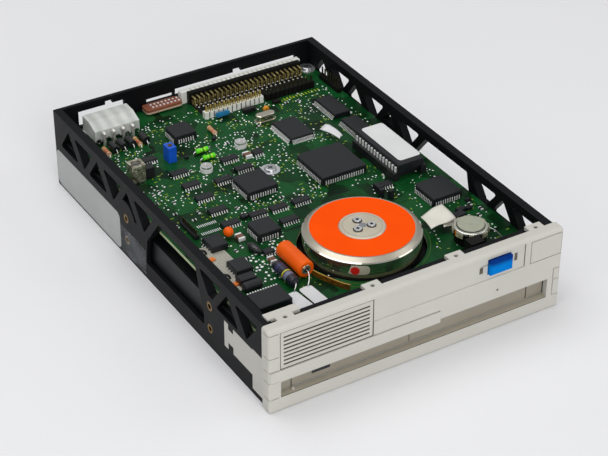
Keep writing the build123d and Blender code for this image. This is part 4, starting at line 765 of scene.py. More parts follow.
def lead_shape(name, path, width, thickness):
    """One bent strip of lead frame. path is its middle line: distance outwards and height, in millimetres."""
    vertices, faces = [], []
    for index, (out, height) in enumerate(path):
        before, after = path[max(index - 1, 0)], path[min(index + 1, len(path) - 1)]
        run, rise = after[0] - before[0], after[1] - before[1]
        length = math.hypot(run, rise)
        for side in (-1, 1):
            shift_out = -rise / length * side * thickness / 2
            shift_up = run / length * side * thickness / 2
            for end in (-1, 1):
                vertices.append((end * width / 2000, -(out + shift_out) / 1000, (height + shift_up) / 1000))
    for index in range(len(path) - 1):
        a, b = 4 * index, 4 * index + 4
        faces += [(a, a + 1, b + 1, b), (a + 3, a + 2, b + 2, b + 3), (a + 2, a, b, b + 2),
                  (a + 1, a + 3, b + 3, b + 1)]
    end = 4 * (len(path) - 1)
    faces += [(0, 2, 3, 1), (end, end + 1, end + 3, end + 2)]
    mesh = bpy.data.meshes.new(name)
    mesh.from_pydata(vertices, [], faces)
    outwards(mesh)
    return bpy.data.objects.new(name, mesh)


def lead_rows(name, lead, pitch, lines, finish, slot):
    """Copies of a lead along straight lines. A line is two ends, and leads face the right of its way."""
    vertices, edges = [], []
    for start, end in lines:
        edges.append((len(vertices), len(vertices) + 1))
        vertices += [spot(*start), spot(*end)]
    return grow(name, rows, (vertices, edges, []), slot, Lead=lead, Pitch=0.999 * pitch / 1000, Finish=finish)


def line(middle_x, middle_y, z, pitch, count, along_x=True, back=False):
    """Ends of a row of leads about a middle."""
    reach = pitch * (count - 1) / 2 * (-1 if back else 1)
    if along_x:
        return (middle_x - reach, middle_y, z), (middle_x + reach, middle_y, z)
    return (middle_x, middle_y - reach, z), (middle_x, middle_y + reach, z)


# White ribs of the ribbon connector are parted by gaps, one between each pair of pins, and a dark strip in
# each is painted shade.
header_low, header_high = limits("signal_header")
header_depth = header_high[1] - header_low[1] - 0.1
gap_shade_finish = surface("gap_shadow", "#2A2A26", "#3C3B35", 0.7, blotch_mm=2, grain_mm=0.3, specular=0.1)
gaps = 24
boxes_piece("header_gaps", [
    ((header_x + pin_pitch * (step - (gaps - 1) / 2), (header_low[1] + header_high[1]) / 2,
      header_high[2] - 0.57),
     (0.48, header_depth, 0.06), 0) for step in range(gaps)], gap_shade_finish)
socket_box = limits("terminator_sockets")
socket_x, socket_y, _ = middle(socket_box)
# Dark strips between the sockets' white teeth are painted shade too.
boxes_piece("socket_gaps", [
    ((socket_box[0][0] + pin_pitch * (step + 1), socket_box[0][1] - 0.01, board_top + 2.0),
     (0.42, 0.04, 3.0), 0) for step in range(12)], gap_shade_finish)
# A close second row of thin gilt contacts stands in the white sockets, between the posts.
chip_pitch = pin_pitch / 2
thin_contact = lead_shape("thin_contact", [(0.0, 0.0), (0.0, 2.6)], 0.4, 0.3)
lead_rows("thin_contacts", thin_contact, chip_pitch,
          [line(socket_x, socket_y + shift, socket_box[1][2] - 0.2, chip_pitch, 24)
           for shift in (-0.75, 0.75)],
          gold_plate_painted_glints, "gold_pins")


def dot_shape(name, radius, height):
    """A low cone of solder with eight sides, its foot at the origin. Sizes in millimetres."""
    mesh = bpy.data.meshes.new(name)
    shell = bmesh.new()
    bmesh.ops.create_cone(shell, segments=8, radius1=radius / 1000, radius2=radius / 2000,
                          depth=height / 1000, cap_ends=True,
                          matrix=Matrix.Translation((0, 0, height / 2000)))
    shell.to_mesh(mesh)
    shell.free()
    return bpy.data.objects.new(name, mesh)


# Round joints where the ribbon connector's pins enter the board.
solder_ring = dot_shape("solder_ring", 0.5, 0.25)
pin_half = 0.32
pin_boxes = solids_of("signal_pins")
pin_left = min(box[0][0] for box in pin_boxes) + pin_half
pin_right = max(box[1][0] for box in pin_boxes) - pin_half
pin_feet = sorted({round(box[0][1] + pin_half, 2) for box in pin_boxes if box[0][2] < board_top + 0.2})
lead_rows("pin_joints", solder_ring, pin_pitch,
          [((pin_left + pin_pitch / 2, y - 1.3, board_top + 0.06), (pin_right, y - 1.3, board_top + 0.06))
           for y in pin_feet], bright_solder, "tin_pins")
# Square tips of the jumper posts, level with the plate.
jumper_box, jumper_pitch = limits("jumper_block"), 2.05
jumper_tip = lead_shape("jumper_tip", [(-0.45, 0.3), (0.45, 0.3)], 0.9, 0.7)
jumper_x, jumper_y, _ = middle(jumper_box)
lead_rows("jumper_tips", jumper_tip, jumper_pitch,
          [line(jumper_x + 1.5, jumper_y + shift, jumper_box[1][2] - 0.3, jumper_pitch, 8)
           for shift in (-1.3, 1.3)],
          bright_solder, "tin_pins")
# Pins of the short strip in the right rear corner.
side_box = max(solids_of("dark_strips"), key=lambda box: middle(box)[0])
side_post = lead_shape("side_post", [(0.0, 0.0), (0.0, 4.4)], 2 * pin_half, 2 * pin_half)
lead_rows("side_posts", side_post, pin_pitch,
          [line(middle(side_box)[0], middle(side_box)[1], side_box[1][2], pin_pitch, 7, along_x=False)],
          post_plate, "gold_pins")
# A row of long, thinly masked pads in front of the right-hand strip.
slant_pitch = 1.8
slant_pad = lead_shape("slant_pad", [(-1.0, 0.04), (1.0, 0.04)], 0.7, 0.12)
lead_rows("slant_pads", slant_pad, slant_pitch, [line(48.9, 173.6, board_top, slant_pitch, 12)], thin_mask,
          "gold_pins")

# Chip packages
# Black epoxy packages with a dull, slightly pitted top: small outline chips, square carriers,
# two memories, the quad flat pack and the power packages along the left edge.
epoxy_black = surface("moulded_epoxy", "#0C0E11", "#181A1E", 0.46, blotch_mm=5, grain_mm=0.18,
                      grain_depth_mm=0.012, specular=0.36)
dress(epoxy_black, "processor_chip", "chip_carriers", "quad_package", "memory_chips", "logic_chips",
      "driver_chips", "power_packages")
# Tinned alloy leads are bent down outside each package and catch the light as pale ribs.
lead_tin = surface("tinned_lead_frame", "#DCDDDB", "#F8F8F6", 0.34, blotch_mm=1.5, grain_mm=0.2,
                   grain_depth_mm=0.006, metallic=0.2)
gull_lead = lead_shape("gull_lead", [(-0.2, 0.95), (0.3, 0.95), (0.5, 0.16), (1.15, 0.1)], 0.42, 0.2)
hook_lead = lead_shape("hook_lead", [(-0.3, 2.3), (0.24, 2.3), (0.26, 0.35), (-0.25, 0.1)], 0.42, 0.22)
fine_lead = lead_shape("fine_lead", [(-0.3, 1.5), (0.5, 1.45), (0.8, 0.2), (1.6, 0.12)], 0.28, 0.18)


def package_lines(box, pitch, along_x, along_y):
    """Rows of leads round a package, so many along its front and rear and so many along its sides."""
    x, y, _ = middle(box)
    low, high = box
    lines = []
    if along_x:
        lines.append(line(x, low[1], board_top, pitch, along_x))
        lines.append(line(x, high[1], board_top, pitch, along_x, back=True))
    if along_y:
        lines.append(line(high[0], y, board_top, pitch, along_y, along_x=False))
        lines.append(line(low[0], y, board_top, pitch, along_y, along_x=False, back=True))
    return lines


outline_rows = []
for box in solids_of("logic_chips"):
    outline_rows += package_lines(box, chip_pitch, round((box[1][0] - box[0][0]) / 1.3), 0)
lead_rows("outline_chip_leads", gull_lead, chip_pitch, outline_rows, lead_tin, "tin_pins")
carrier_rows = []
for box in solids_of("processor_chip") + solids_of("chip_carriers"):
    side = box[1][0] - box[0][0]
    count = 17 if side > 20 else 11 if side > 13 else 7
    carrier_rows += package_lines(box, chip_pitch, count, count)
lead_rows("carrier_leads", hook_lead, chip_pitch, carrier_rows, lead_tin, "tin_pins")
quad_pitch, memory_pitch = 0.65, 1.0
quad_rows = package_lines(solids_of("quad_package")[0], quad_pitch, 18, 26)
lead_rows("quad_package_leads", fine_lead, quad_pitch, quad_rows, lead_tin, "tin_pins")
memory_rows = []
for box in solids_of("memory_chips"):
    memory_rows += package_lines(box, memory_pitch, 0, 18)
lead_rows("memory_leads", fine_lead, memory_pitch, memory_rows, lead_tin, "tin_pins")
# The flat package at the front has its pins along its rear edge only.
array_box = min(solids_of("power_packages"), key=lambda box: box[0][1])
array_pin = lead_shape("array_pin", [(-0.2, 3.3), (0.9, 3.3), (1.2, 0.1)], 0.6, 0.3)
lead_rows("array_pins", array_pin, chip_pitch,
          [line(middle(array_box)[0] + 0.3, array_box[1][1], board_top, chip_pitch, 12, back=True)],
          lead_tin, "tin_pins")
# A footprint left without its chip shows two rows of long tinned lands.
empty_land = lead_shape("empty_land", [(-0.95, 0.05), (0.95, 0.05)], 0.34, 0.1)
land_pitch = 0.9
lead_rows("empty_lands", empty_land, land_pitch,
          [line(-49.4, 88.4, board_top, land_pitch, 11), line(-48.4, 94.6, board_top, land_pitch, 11)],
          bright_solder, "tin_pins")
# The driver packages have a few short leads on each long side.
driver_pitch, driver_rows = 2.0, []
for box in solids_of("driver_chips"):
    driver_rows += package_lines(box, driver_pitch, 0, max(3, round((box[1][1] - box[0][1]) / 2.3)))
lead_rows("driver_leads", gull_lead, driver_pitch, driver_rows, lead_tin, "tin_pins")

# Socketed memory
# A ceramic chip with side pins sits in a black socket of turned contacts. A plain white label is
# stuck over its window.
dress(black_moulding, "eprom_socket")
dress(epoxy_black, "eprom_chip")
eprom_box = solids_of("eprom_chip")[0]
eprom_y = middle(eprom_box)[1]
shoulder_pin = lead_shape("shoulder_pin", [(-0.3, 2.6), (0.35, 2.6), (0.4, -0.6)], 1.3, 0.3)
pin_z = eprom_box[0][2] - 0.4
lead_rows("eprom_pins", shoulder_pin, pin_pitch,
          [line(eprom_box[0][0], eprom_y, pin_z, pin_pitch, 14, along_x=False, back=True),
           line(eprom_box[1][0], eprom_y, pin_z, pin_pitch, 14, along_x=False)], lead_tin, "tin_pins")
# Uncoated paper is a dull, slightly fibrous off-white.
label_paper = surface("uncoated_label_paper", "#CFD0D0", "#DEDEDD", 0.7, blotch_mm=8, grain_mm=0.5,
                      grain_depth_mm=0.02)
label_x, label_y, paper_thickness = 53.85, 100.1, 0.12
sheet_piece("eprom_label", rounded(12.1, 33.6, 1.6),
            lambda u, v, h: spot(label_x + u, label_y + v, eprom_box[1][2] + 0.02 + h),
            paper_thickness, label_paper)

# Small surface parts
# Chip capacitors and resistors are brown or black blocks with tinned ends, laid between the chips.
# Each row is the place, the length, width and height, the turn and whether the body is brown.
# Fired brown ceramic has a slight sheen and a fine speckle.
brown_ceramic = surface("brown_ceramic", "#5C3B2A", "#7A5240", 0.35, blotch_mm=1.5, grain_mm=0.2,
                        grain_depth_mm=0.01)
small_parts = [
    (-41.2, 76.9, 4.6, 3.2, 1.7, 90, True), (-37.9, 54.4, 4.4, 3.0, 1.6, 90, True),
    (-3.9, 135.7, 4.6, 3.4, 1.7, 90, True), (-47.5, 69.0, 2.0, 1.2, 0.6, 90, False),
    (-44.0, 70.5, 2.0, 1.2, 0.6, 90, False), (-46.0, 61.5, 2.0, 1.2, 0.6, 0, False),
    (-57.6, 128.4, 2.0, 1.2, 0.6, 90, False), (-54.6, 129.2, 2.0, 1.2, 0.6, 90, False),
    (-60.2, 120.5, 2.0, 1.2, 0.7, 0, False), (-53.0, 117.2, 2.0, 1.2, 0.7, 90, False),
    (-56.8, 108.8, 2.0, 1.2, 0.7, 0, False), (-47.0, 104.5, 2.0, 1.2, 0.7, 90, False),
    (-51.6, 100.2, 2.0, 1.2, 0.7, 0, False), (-60.8, 99.0, 2.0, 1.2, 0.7, 90, False),
    (-33.0, 137.5, 2.0, 1.2, 0.6, 90, False), (-20.5, 131.0, 2.0, 1.2, 0.6, 0, False),
    (-6.5, 150.5, 2.0, 1.2, 0.6, 0, False), (9.0, 128.2, 2.0, 1.2, 0.6, 90, False),
    (-20.4, 100.0, 2.0, 1.2, 0.6, 90, False), (8.5, 95.0, 2.0, 1.2, 0.6, 0, False),
    (38.2, 170.0, 2.0, 1.2, 0.6, 0, False), (44.5, 168.5, 2.0, 1.2, 0.6, 90, False),
    (43.0, 88.5, 2.0, 1.2, 0.6, 0, False), (62.5, 47.0, 2.2, 1.4, 0.7, 90, False),
    (56.5, 38.6, 2.4, 1.4, 0.7, 90, False), (60.8, 37.4, 2.4, 1.4, 0.7, 90, False),
    (64.6, 41.5, 2.4, 1.4, 0.7, 90, False), (33.4, 60.4, 2.0, 1.2, 0.6, 0, False),
    (-30.5, 98.6, 2.0, 1.2, 0.6, 90, False), (-8.4, 96.4, 2.0, 1.2, 0.6, 0, False),
]
core_share = 0.56
bodies_brown, bodies_black, ends = [], [], []
for x, y, length, width, height, turn, is_brown in small_parts:
    z = board_top + height / 2
    core = ((x, y, z), (length * core_share, width, height), turn)
    (bodies_brown if is_brown else bodies_black).append(core)
    for way in (-1, 1):
        reach = way * length * (1 + core_share) / 4
        end_x = x + reach * math.cos(math.radians(turn))
        end_y = y + reach * math.sin(math.radians(turn))
        ends.append(((end_x, end_y, z), (length * (1 - core_share) / 2, width, height + 0.04), turn))
boxes_piece("brown_chip_bodies", bodies_brown, brown_ceramic, bevel=0.1)
boxes_piece("black_chip_bodies", bodies_black, epoxy_black)
boxes_piece("chip_part_ends", ends, bright_solder, bevel=0.08)
# Small transistors and plain black parts stand among them, and a long black post strip at the left.
# Each is its centre, its size and its turn.
black_parts = [
    ((-31.7, 90.4, 29.4), (3.0, 3.0, 1.8), 0), ((-51.7, 144.6, 31.2), (4.2, 4.6, 5.4), 0),
    ((55.4, 44.6, 29.4), (4.2, 3.0, 1.8), 8), ((59.6, 44.2, 29.3), (3.2, 2.4, 1.6), 8),
    ((52.0, 40.8, 29.7), (5.6, 4.0, 2.4), 8), ((63.2, 50.0, 29.2), (2.6, 1.6, 1.4), 0),
    ((18.0, 172.2, 29.6), (6.6, 2.4, 2.2), 0), ((33.0, 78.6, 30.0), (2.6, 4.8, 3.0), 0),
    ((31.4, 73.4, 30.6), (2.2, 2.2, 4.2), 0), ((34.6, 70.4, 30.6), (2.2, 2.2, 4.2), 0),
    ((-10.0, 157.2, 29.3), (2.4, 1.6, 1.6), 30), ((-29.6, 148.8, 29.2), (1.8, 1.4, 1.4), 0),
    ((-57.8, 92.9, 29.5), (2.4, 14.0, 2.0), 0),
]
boxes_piece("black_parts", black_parts, epoxy_black, bevel=0.15)

# Leaded components
# Lacquered, dipped and moulded bodies stand or lie on tinned wires, which are bent down into the
# board and soldered.
# Moulded diallyl phthalate is a hard, slightly glossy royal blue.
trimmer_blue = surface("blue_diallyl_phthalate", "#0A44B0", "#145CD0", 0.32, blotch_mm=6, grain_mm=0.3,
                       grain_depth_mm=0.008)
dress(trimmer_blue, "trimmer_pot")
dress(insert_brass, "trimmer_screw")
# Fired ceramic is a cool white with a smooth sheen.
white_ceramic = surface("white_ceramic", "#C4C5C4", "#E2E2DF", 0.3, blotch_mm=3, grain_mm=0.3,
                        grain_depth_mm=0.01)
dress(white_ceramic, "trimmer_capacitor_bases")
# Fired silver on the rotors is bright and nearly white.
silver_rotor = surface("silvered_rotor", "#D5D5D2", "#F0F0EE", 0.28, blotch_mm=3, grain_mm=0.3,
                       grain_depth_mm=0.006, metallic=0.9)
dress(silver_rotor, "trimmer_rotor_left", "trimmer_rotor_right")
# The screening can is tinned brass, a little yellow, with the ferrite slug dark in its mouth. Its strong
# mottle from dark brown to near white is painted reflection.
tinned_brass_painted_reflections = surface("tinned_brass_painted_reflections", "#4E452E", "#F2ECD4", 0.22, blotch_mm=1.8, grain_mm=0.8,
                       grain_depth_mm=0.04, metallic=0.8, contrast=2.2)
dress(tinned_brass_painted_reflections, "coil_can")
# Pressed ferrite is a dull dark grey.
grey_ferrite = surface("grey_ferrite", "#4A4844", "#6A6863", 0.5, blotch_mm=2, grain_mm=0.2,
                       grain_depth_mm=0.02)
dress(grey_ferrite, "coil_slug")
# Drawn nickel silver is warmer than steel, with a clear highlight along its curve.
crystal_steel = surface("drawn_nickel_silver", "#B9B3A2", "#DDD8C8", 0.22, blotch_mm=4, grain_mm=0.3,
                        grain_depth_mm=0.004, metallic=1.0)
dress(crystal_steel, "crystal_can")
# A shrunk orange sleeve and dipped beads keep a full, even colour with little gloss.
orange_sleeve = surface("orange_polyester_sleeve", "#DE4C00", "#EE6404", 0.38, blotch_mm=7, grain_mm=0.6,
                        grain_depth_mm=0.02, specular=0.2)
dress(orange_sleeve, "film_capacitor", "tantalum_bead")
# Dipped epoxy is black and glossier than a moulded package.
diode_epoxy = surface("glossy_black_epoxy", "#0C0D0F", "#18191C", 0.28, blotch_mm=3, grain_mm=0.3,
                      grain_depth_mm=0.01)
dress(diode_epoxy, "diodes")


def banded(name, base, bands, axis, starts):
    """Lacquer with painted bands across one axis, placed from each part's middle in millimetres."""
    material, tree, shader = new_material(name)
    place = add(tree, "ShaderNodeTexCoord").outputs["Object"]
    axes = add(tree, "ShaderNodeSeparateXYZ", {"Vector": place})
    mottle = add(tree, "ShaderNodeTexNoise", {"Vector": place, "Scale": millimetres(1.4), "Detail": 2.0})
    colour = add(tree, "ShaderNodeMix", {"Factor": mottle.outputs["Fac"], "A": linear(base[0]),
                                         "B": linear(base[1])},
                 data_type="RGBA").outputs["Result"]
    for start in starts:
        for offset, width, paint in bands:
            centre = (start + offset) / 1000 + (frame_front if axis == "Y" else 0.0)
            away = add(tree, "ShaderNodeMath", {0: axes.outputs[axis], 1: centre}, operation="SUBTRACT")
            size = add(tree, "ShaderNodeMath", {0: away.outputs[0]}, operation="ABSOLUTE")
            on_band = add(tree, "ShaderNodeMath", {0: size.outputs[0], 1: width / 2000},
                          operation="LESS_THAN")
            colour = add(tree, "ShaderNodeMix",
                         {"Factor": on_band.outputs[0], "A": colour, "B": linear(paint)},
                         data_type="RGBA").outputs["Result"]
    tree.links.new(colour, shader.inputs["Base Color"])
    shader.inputs["Roughness"].default_value = 0.32
    return material


# Each band is its place from the middle, its width and its paint.
resistor_bands = [(-1.9, 0.6, "#8A4A2A"), (-0.8, 0.5, "#C4502C"), (0.3, 0.5, "#A8663C"),
                  (1.8, 0.6, "#A5824A")]
tan_lacquer = banded("tan_lacquer_with_bands", ("#B98A66", "#D9B290"), resistor_bands, "Y",
                     sorted(set(round(middle(box)[1], 1) for box in solids_of("resistors"))))
dress(tan_lacquer, "resistors")
green_bands = [(-1.5, 0.5, "#7FD82A"), (-0.6, 0.45, "#A9E83C"), (0.4, 0.45, "#2F7F14"), (1.4, 0.5, "#C0E23C")]
green_lacquer = banded("bright_green_lacquer_with_bands", ("#48C60C", "#67DE1E"), green_bands, "X",
                       sorted(set(round(middle(box)[0], 1) for box in solids_of("green_resistors"))))
dress(green_lacquer, "green_resistors")
inductor_middle = middle(solids_of("banded_inductor")[0])
inductor_lacquer = banded("dark_blue_lacquer_with_bands", ("#090B16", "#15182C"),
                          [(-3.1, 2.3, "#666A80"), (-1.0, 0.8, "#B9B226"), (4.0, 1.6, "#2A2C58"),
                           (1.8, 0.5, "#2A2448")],
                          "Y", [inductor_middle[1]])
dress(inductor_lacquer, "banded_inductor")


def wires(name, paths, radius, finish):
    """Round tinned wires along smooth paths, as one piece. Places in millimetres."""
    curve = bpy.data.curves.new(name, "CURVE")
    curve.dimensions = "3D"
    curve.bevel_depth = radius / 1000
    curve.bevel_resolution = 1
    curve.resolution_u = 3
    curve.use_fill_caps = True
    for path in paths:
        spline = curve.splines.new("NURBS")
        spline.points.add(len(path) - 1)
        for point, place in zip(spline.points, path):
            point.co = (*spot(*place), 1.0)
        spline.order_u = 3
        spline.use_endpoint_u = True
    line_object = bpy.data.objects.new(name + "_line", curve)
    bpy.context.scene.collection.objects.link(line_object)
    bpy.context.view_layer.update()
    evaluated = line_object.evaluated_get(bpy.context.evaluated_depsgraph_get())
    mesh = bpy.data.meshes.new_from_object(evaluated)
    bpy.data.objects.remove(line_object)
    mesh.materials.clear()
    mesh.materials.append(finish)
    piece = bpy.data.objects.new(name, mesh)
    bpy.context.scene.collection.objects.link(piece)
    return on_body(piece)


under_board = board_top - 0.1


def axial_leads(box, along, reach):
    """Wires from both ends of a lying part down into the board."""
    x, y, z = middle(box)
    half = (box[1][along] - box[0][along]) / 2
    paths = []
    for way in (-1, 1):
        start, bend, foot = [x, y, z], [x, y, z], [x, y, under_board]
        start[along] += way * (half - 0.3)
        bend[along] += way * (half + reach)
        foot[along] += way * (half + reach)
        paths.append([start, bend, foot])
    return paths


# Drawn wire with a tin coat shows a thin bright line along its top.
wire_radius = 0.3
bright_wire = surface("bright_tinned_wire", "#BDBDBA", "#E6E6E3", 0.25, blotch_mm=1.0, grain_mm=0.2,
                      grain_depth_mm=0.004, metallic=0.85)
leads = []
for box in solids_of("resistors") + solids_of("diodes"):
    leads += axial_leads(box, 1, 1.3)
for box in solids_of("green_resistors"):
    leads += axial_leads(box, 0, 1.4)
wires("axial_wires", leads, wire_radius, bright_wire)
capacitor_box = solids_of("film_capacitor")[0]
capacitor_x, _, capacitor_z = middle(capacitor_box)
front_end, rear_end = capacitor_box[0][1], capacitor_box[1][1]
inductor_x, inductor_y, inductor_z = inductor_middle
wires("heavy_wires", [
    [(capacitor_x, front_end + 0.4, capacitor_z), (capacitor_x, front_end - 1.8, capacitor_z + 0.4),
     (capacitor_x - 1.2, front_end - 4.6, capacitor_z - 1.8),
     (capacitor_x - 3.4, front_end - 6.9, board_top + 1.2),
     (capacitor_x - 3.6, front_end - 7.0, under_board)],
    [(capacitor_x, rear_end - 0.4, capacitor_z), (capacitor_x, rear_end + 2.0, capacitor_z),
     (capacitor_x, rear_end + 2.2, under_board)],
    [(inductor_x, inductor_y - 7.4, inductor_z), (inductor_x, inductor_y - 9.0, inductor_z + 0.6),
     (inductor_x - 1.4, inductor_y - 10.6, inductor_z), (inductor_x - 2.6, inductor_y - 11.0, under_board)],
    [(inductor_x, inductor_y + 7.4, inductor_z), (inductor_x, inductor_y + 9.2, inductor_z),
     (inductor_x, inductor_y + 9.3, under_board)],
], wire_radius, bright_wire)


def disc(name, centre, radius, thickness, finish, towards=(0, 0, 1), sides=28, rim=0.0):
    """A closed disc that faces a direction, its back on its centre. Sizes in millimetres."""
    turn = Vector(towards).to_track_quat("Z", "Y").to_matrix()
    rows_of_points = [(radius, 0.0), (radius, thickness - rim), (radius - rim, thickness)]
    vertices = []
    for reach, height in rows_of_points:
        for step in range(sides):
            angle = 2 * math.pi * step / sides
            offset = turn @ Vector((reach * math.cos(angle), reach * math.sin(angle), height))
            vertices.append(spot(*(Vector(centre) + offset)))
    faces = [tuple(reversed(range(sides))), tuple(range(2 * sides, 3 * sides))]
    for level in (0, sides):
        for step in range(sides):
            after = (step + 1) % sides
            faces.append((level + step, level + after, level + sides + after, level + sides + step))
    return on_body(mesh_piece(name, vertices, faces, finish))


# The tubular capacitor has a tinned end cap in the mottled brass with painted reflections, and a dark disc
# round its wire is painted shade in its dimple.
disc("capacitor_end_cap", (capacitor_x, front_end + 0.35, capacitor_z), 2.3, 0.5, tinned_brass_painted_reflections,
     towards=(0, -1, 0), rim=0.15)
disc("capacitor_end_hollow", (capacitor_x, front_end - 0.13, capacitor_z), 1.2, 0.06, recess_dark,
     towards=(0, -1, 0), rim=0.02)
# A small orange disc capacitor stands behind the crystal. Its dipped skin is thick and shiny.
amber_dip = surface("amber_dipped_epoxy", "#C97A10", "#E8A02A", 0.3, blotch_mm=2, grain_mm=0.3,
                    grain_depth_mm=0.02)
disc("orange_disc", (24.9, 167.9, board_top + 1.9), 1.6, 1.3, amber_dip,
     towards=(0, -1, 0), rim=0.4)
# The oval inductor stands by the left edge, dipped in the same black as the diodes.
bead_radii, bead_turn = (0.0021, 0.0043, 0.0019), math.radians(8)
bead = bmesh.new()
bmesh.ops.create_uvsphere(bead, u_segments=20, v_segments=12, radius=1.0)
bead.transform(Matrix.Translation(spot(-40.8, 65.0, board_top + 1.9)) @ Matrix.Rotation(bead_turn, 4, "Z")
               @ Matrix.Diagonal((*bead_radii, 1.0)))
bead_mesh = bpy.data.meshes.new("dark_bead")
bead.to_mesh(bead_mesh)
bead.free()
bead_mesh.materials.append(diode_epoxy)
dark_bead = bpy.data.objects.new("dark_bead", bead_mesh)
bpy.context.scene.collection.objects.link(dark_bead)
on_body(dark_bead)
# A pale blue resistor network stands behind the middle, with a conformal coat and soft edges.
network_blue = surface("pale_blue_epoxy", "#12567F", "#2A83AE", 0.3, blotch_mm=2, grain_mm=0.3,
                       grain_depth_mm=0.02)
boxes_piece("blue_network", [((4.1, 174.3, board_top + 1.9), (7.8, 2.1, 2.4), 0)], network_blue,
            bevel=0.6)

# Flat ribbon and power corner
# A pale ribbed ribbon runs under the power packages along the left edge, held by black wire hooks
# and amber tape.

# Clear film over flat tinned conductors shows pale ribs with grey between them.
rib_pitch, rib_gap = 0.9, 0.35
ribbon_film, ribbon_tree, ribbon_shader = new_material("ribbed_ribbon_film")
ribbon_place = add(ribbon_tree, "ShaderNodeTexCoord").outputs["Object"]
ribbon_axes = add(ribbon_tree, "ShaderNodeSeparateXYZ", {"Vector": ribbon_place})
ribbon_step = add(ribbon_tree, "ShaderNodeMath", {0: ribbon_axes.outputs["Y"], 1: millimetres(rib_pitch)},
                  operation="MULTIPLY")
ribbon_part = add(ribbon_tree, "ShaderNodeMath", {0: ribbon_step.outputs[0]}, operation="FRACT")
ribbon_gap = add(ribbon_tree, "ShaderNodeMath", {0: ribbon_part.outputs[0], 1: rib_gap},
                 operation="LESS_THAN")
ribbon_tone = add(ribbon_tree, "ShaderNodeMix",
                  {"Factor": ribbon_gap.outputs[0], "A": linear("#B9B6A8"), "B": linear("#74716A")},
                  data_type="RGBA")
ribbon_tree.links.new(ribbon_tone.outputs["Result"], ribbon_shader.inputs["Base Color"])
ribbon_shader.inputs["Roughness"].default_value = 0.5
boxes_piece("edge_ribbon", [((-59.2, 60.6, board_top + 0.18), (15.2, 36.8, 0.3), 0)], ribbon_film)
wires("black_hooks", [
    [(-65.2, y, board_top + 0.6), (-64.6, y - 0.2, board_top + 2.2), (-62.4, y - 0.6, board_top + 2.8),
     (-60.4, y - 1.0, board_top + 2.0), (-60.0, y - 1.0, board_top + 0.2)] for y in (74.6, 53.2)],
    0.62, black_moulding)
# Polyimide tape is a clear, glossy amber.
amber_tape = surface("amber_polyimide_tape", "#C65A10", "#EC8A34", 0.3, blotch_mm=2, grain_mm=0.5,
                     grain_depth_mm=0.02)
boxes_piece("amber_tape", [((-61.2, 68.0, board_top + 0.7), (5.0, 2.6, 0.5), 12),
                           ((-61.6, 46.6, board_top + 0.7), (5.0, 2.6, 0.5), 12)], amber_tape,
            bevel=0.08)

# Flat motor
# A pressed cup of nickel-plated steel with a bright bevel and a mirror-like side, an orange paper ring
# on top and a satin turned hub held by three screws. A small red dot is stuck to its side.

# Polished nickel mirrors the room on the side and the bevel, and is satin above this height in metres.
can_shoulder = 0.0361
can_plate, can_tree, can_shader = new_material("nickel_plated_cup")
can_coords = add(can_tree, "ShaderNodeTexCoord")
can_height = add(can_tree, "ShaderNodeSeparateXYZ", {"Vector": can_coords.outputs["Object"]})
can_flat = add(can_tree, "ShaderNodeMath", {0: can_height.outputs["Z"], 1: can_shoulder},
               operation="GREATER_THAN")
can_cloud = add(can_tree, "ShaderNodeTexNoise",
                {"Vector": can_coords.outputs["Object"], "Scale": millimetres(10.0), "Detail": 3.0})
can_rough = add(can_tree, "ShaderNodeMapRange", {"Value": can_cloud.outputs["Fac"], "To Min": 0.05,
                                                 "To Max": 0.09})
can_gloss = add(can_tree, "ShaderNodeMix",
                {"Factor": can_flat.outputs[0], "A": can_rough.outputs["Result"], "B": 0.36},
                data_type="FLOAT")
can_polish = add(can_tree, "ShaderNodeMix",
                 {"Factor": can_cloud.outputs["Fac"], "A": linear("#C0BBB0"), "B": linear("#D4CFC4")},
                 data_type="RGBA")
can_tone = add(can_tree, "ShaderNodeMix",
               {"Factor": can_flat.outputs[0], "A": can_polish.outputs["Result"], "B": linear("#BFB8A8")},
               data_type="RGBA")
can_tree.links.new(can_tone.outputs["Result"], can_shader.inputs["Base Color"])
can_tree.links.new(can_gloss.outputs["Result"], can_shader.inputs["Roughness"])
can_shader.inputs["Metallic"].default_value = 0.96
dress(can_plate, "motor_can")
# The turned hub is a warm satin grey.
hub_alloy = surface("satin_turned_hub", "#C6BDA9", "#DBD2BE", 0.44, blotch_mm=9, grain_mm=0.25,
                    grain_depth_mm=0.006, metallic=0.7)
dress(hub_alloy, "motor_hub")
dress(stamped_washer, "motor_hub_screws")
hub_box = limits("motor_hub")
# A fine turned groove runs round the hub's face, drawn as a thin darker ring of painted shade.
groove_shade_finish = surface("turned_groove_shade", "#8F8775", "#A39B88", 0.5, blotch_mm=3, grain_mm=0.3, metallic=0.4)
ring("hub_groove", middle(hub_box)[:2], 8.75, 8.95, hub_box[1][2] - 0.05, hub_box[1][2] + 0.02, groove_shade_finish,
     body="rotor")
# The ring of orange paper is matt and strong in colour.
label_orange = surface("orange_label_paper", "#F64A00", "#FF5600", 0.55, blotch_mm=16, grain_mm=0.4,
                       grain_depth_mm=0.008, specular=0.05)
dress(label_orange, "motor_label")
# A dark ring under each hub screw's head and dark bars across its head are painted shade.
hub_recess_shade_bars = []
for box in solids_of("motor_hub_screws"):
    x, y, _ = middle(box)
    ring(f"hub_screw_washer_{round(x * 10)}_{round(y * 10)}", (x, y), 1.85, 2.2, box[0][2], box[0][2] + 0.25,
         recess_dark, body="rotor", sides=24)
    for turn in (15, 75, 135):
        hub_recess_shade_bars.append(((x, y, box[1][2] + 0.01), (1.5, 0.5, 0.06), turn))
boxes_piece("hub_screw_recesses", hub_recess_shade_bars, recess_dark, body="rotor")
motor_box = limits("motor_can")
can_side = (motor_box[1][0] - motor_box[0][0]) / 2
dot_angle, dot_z, dot_radius = math.radians(231.0), 32.2, 2.0


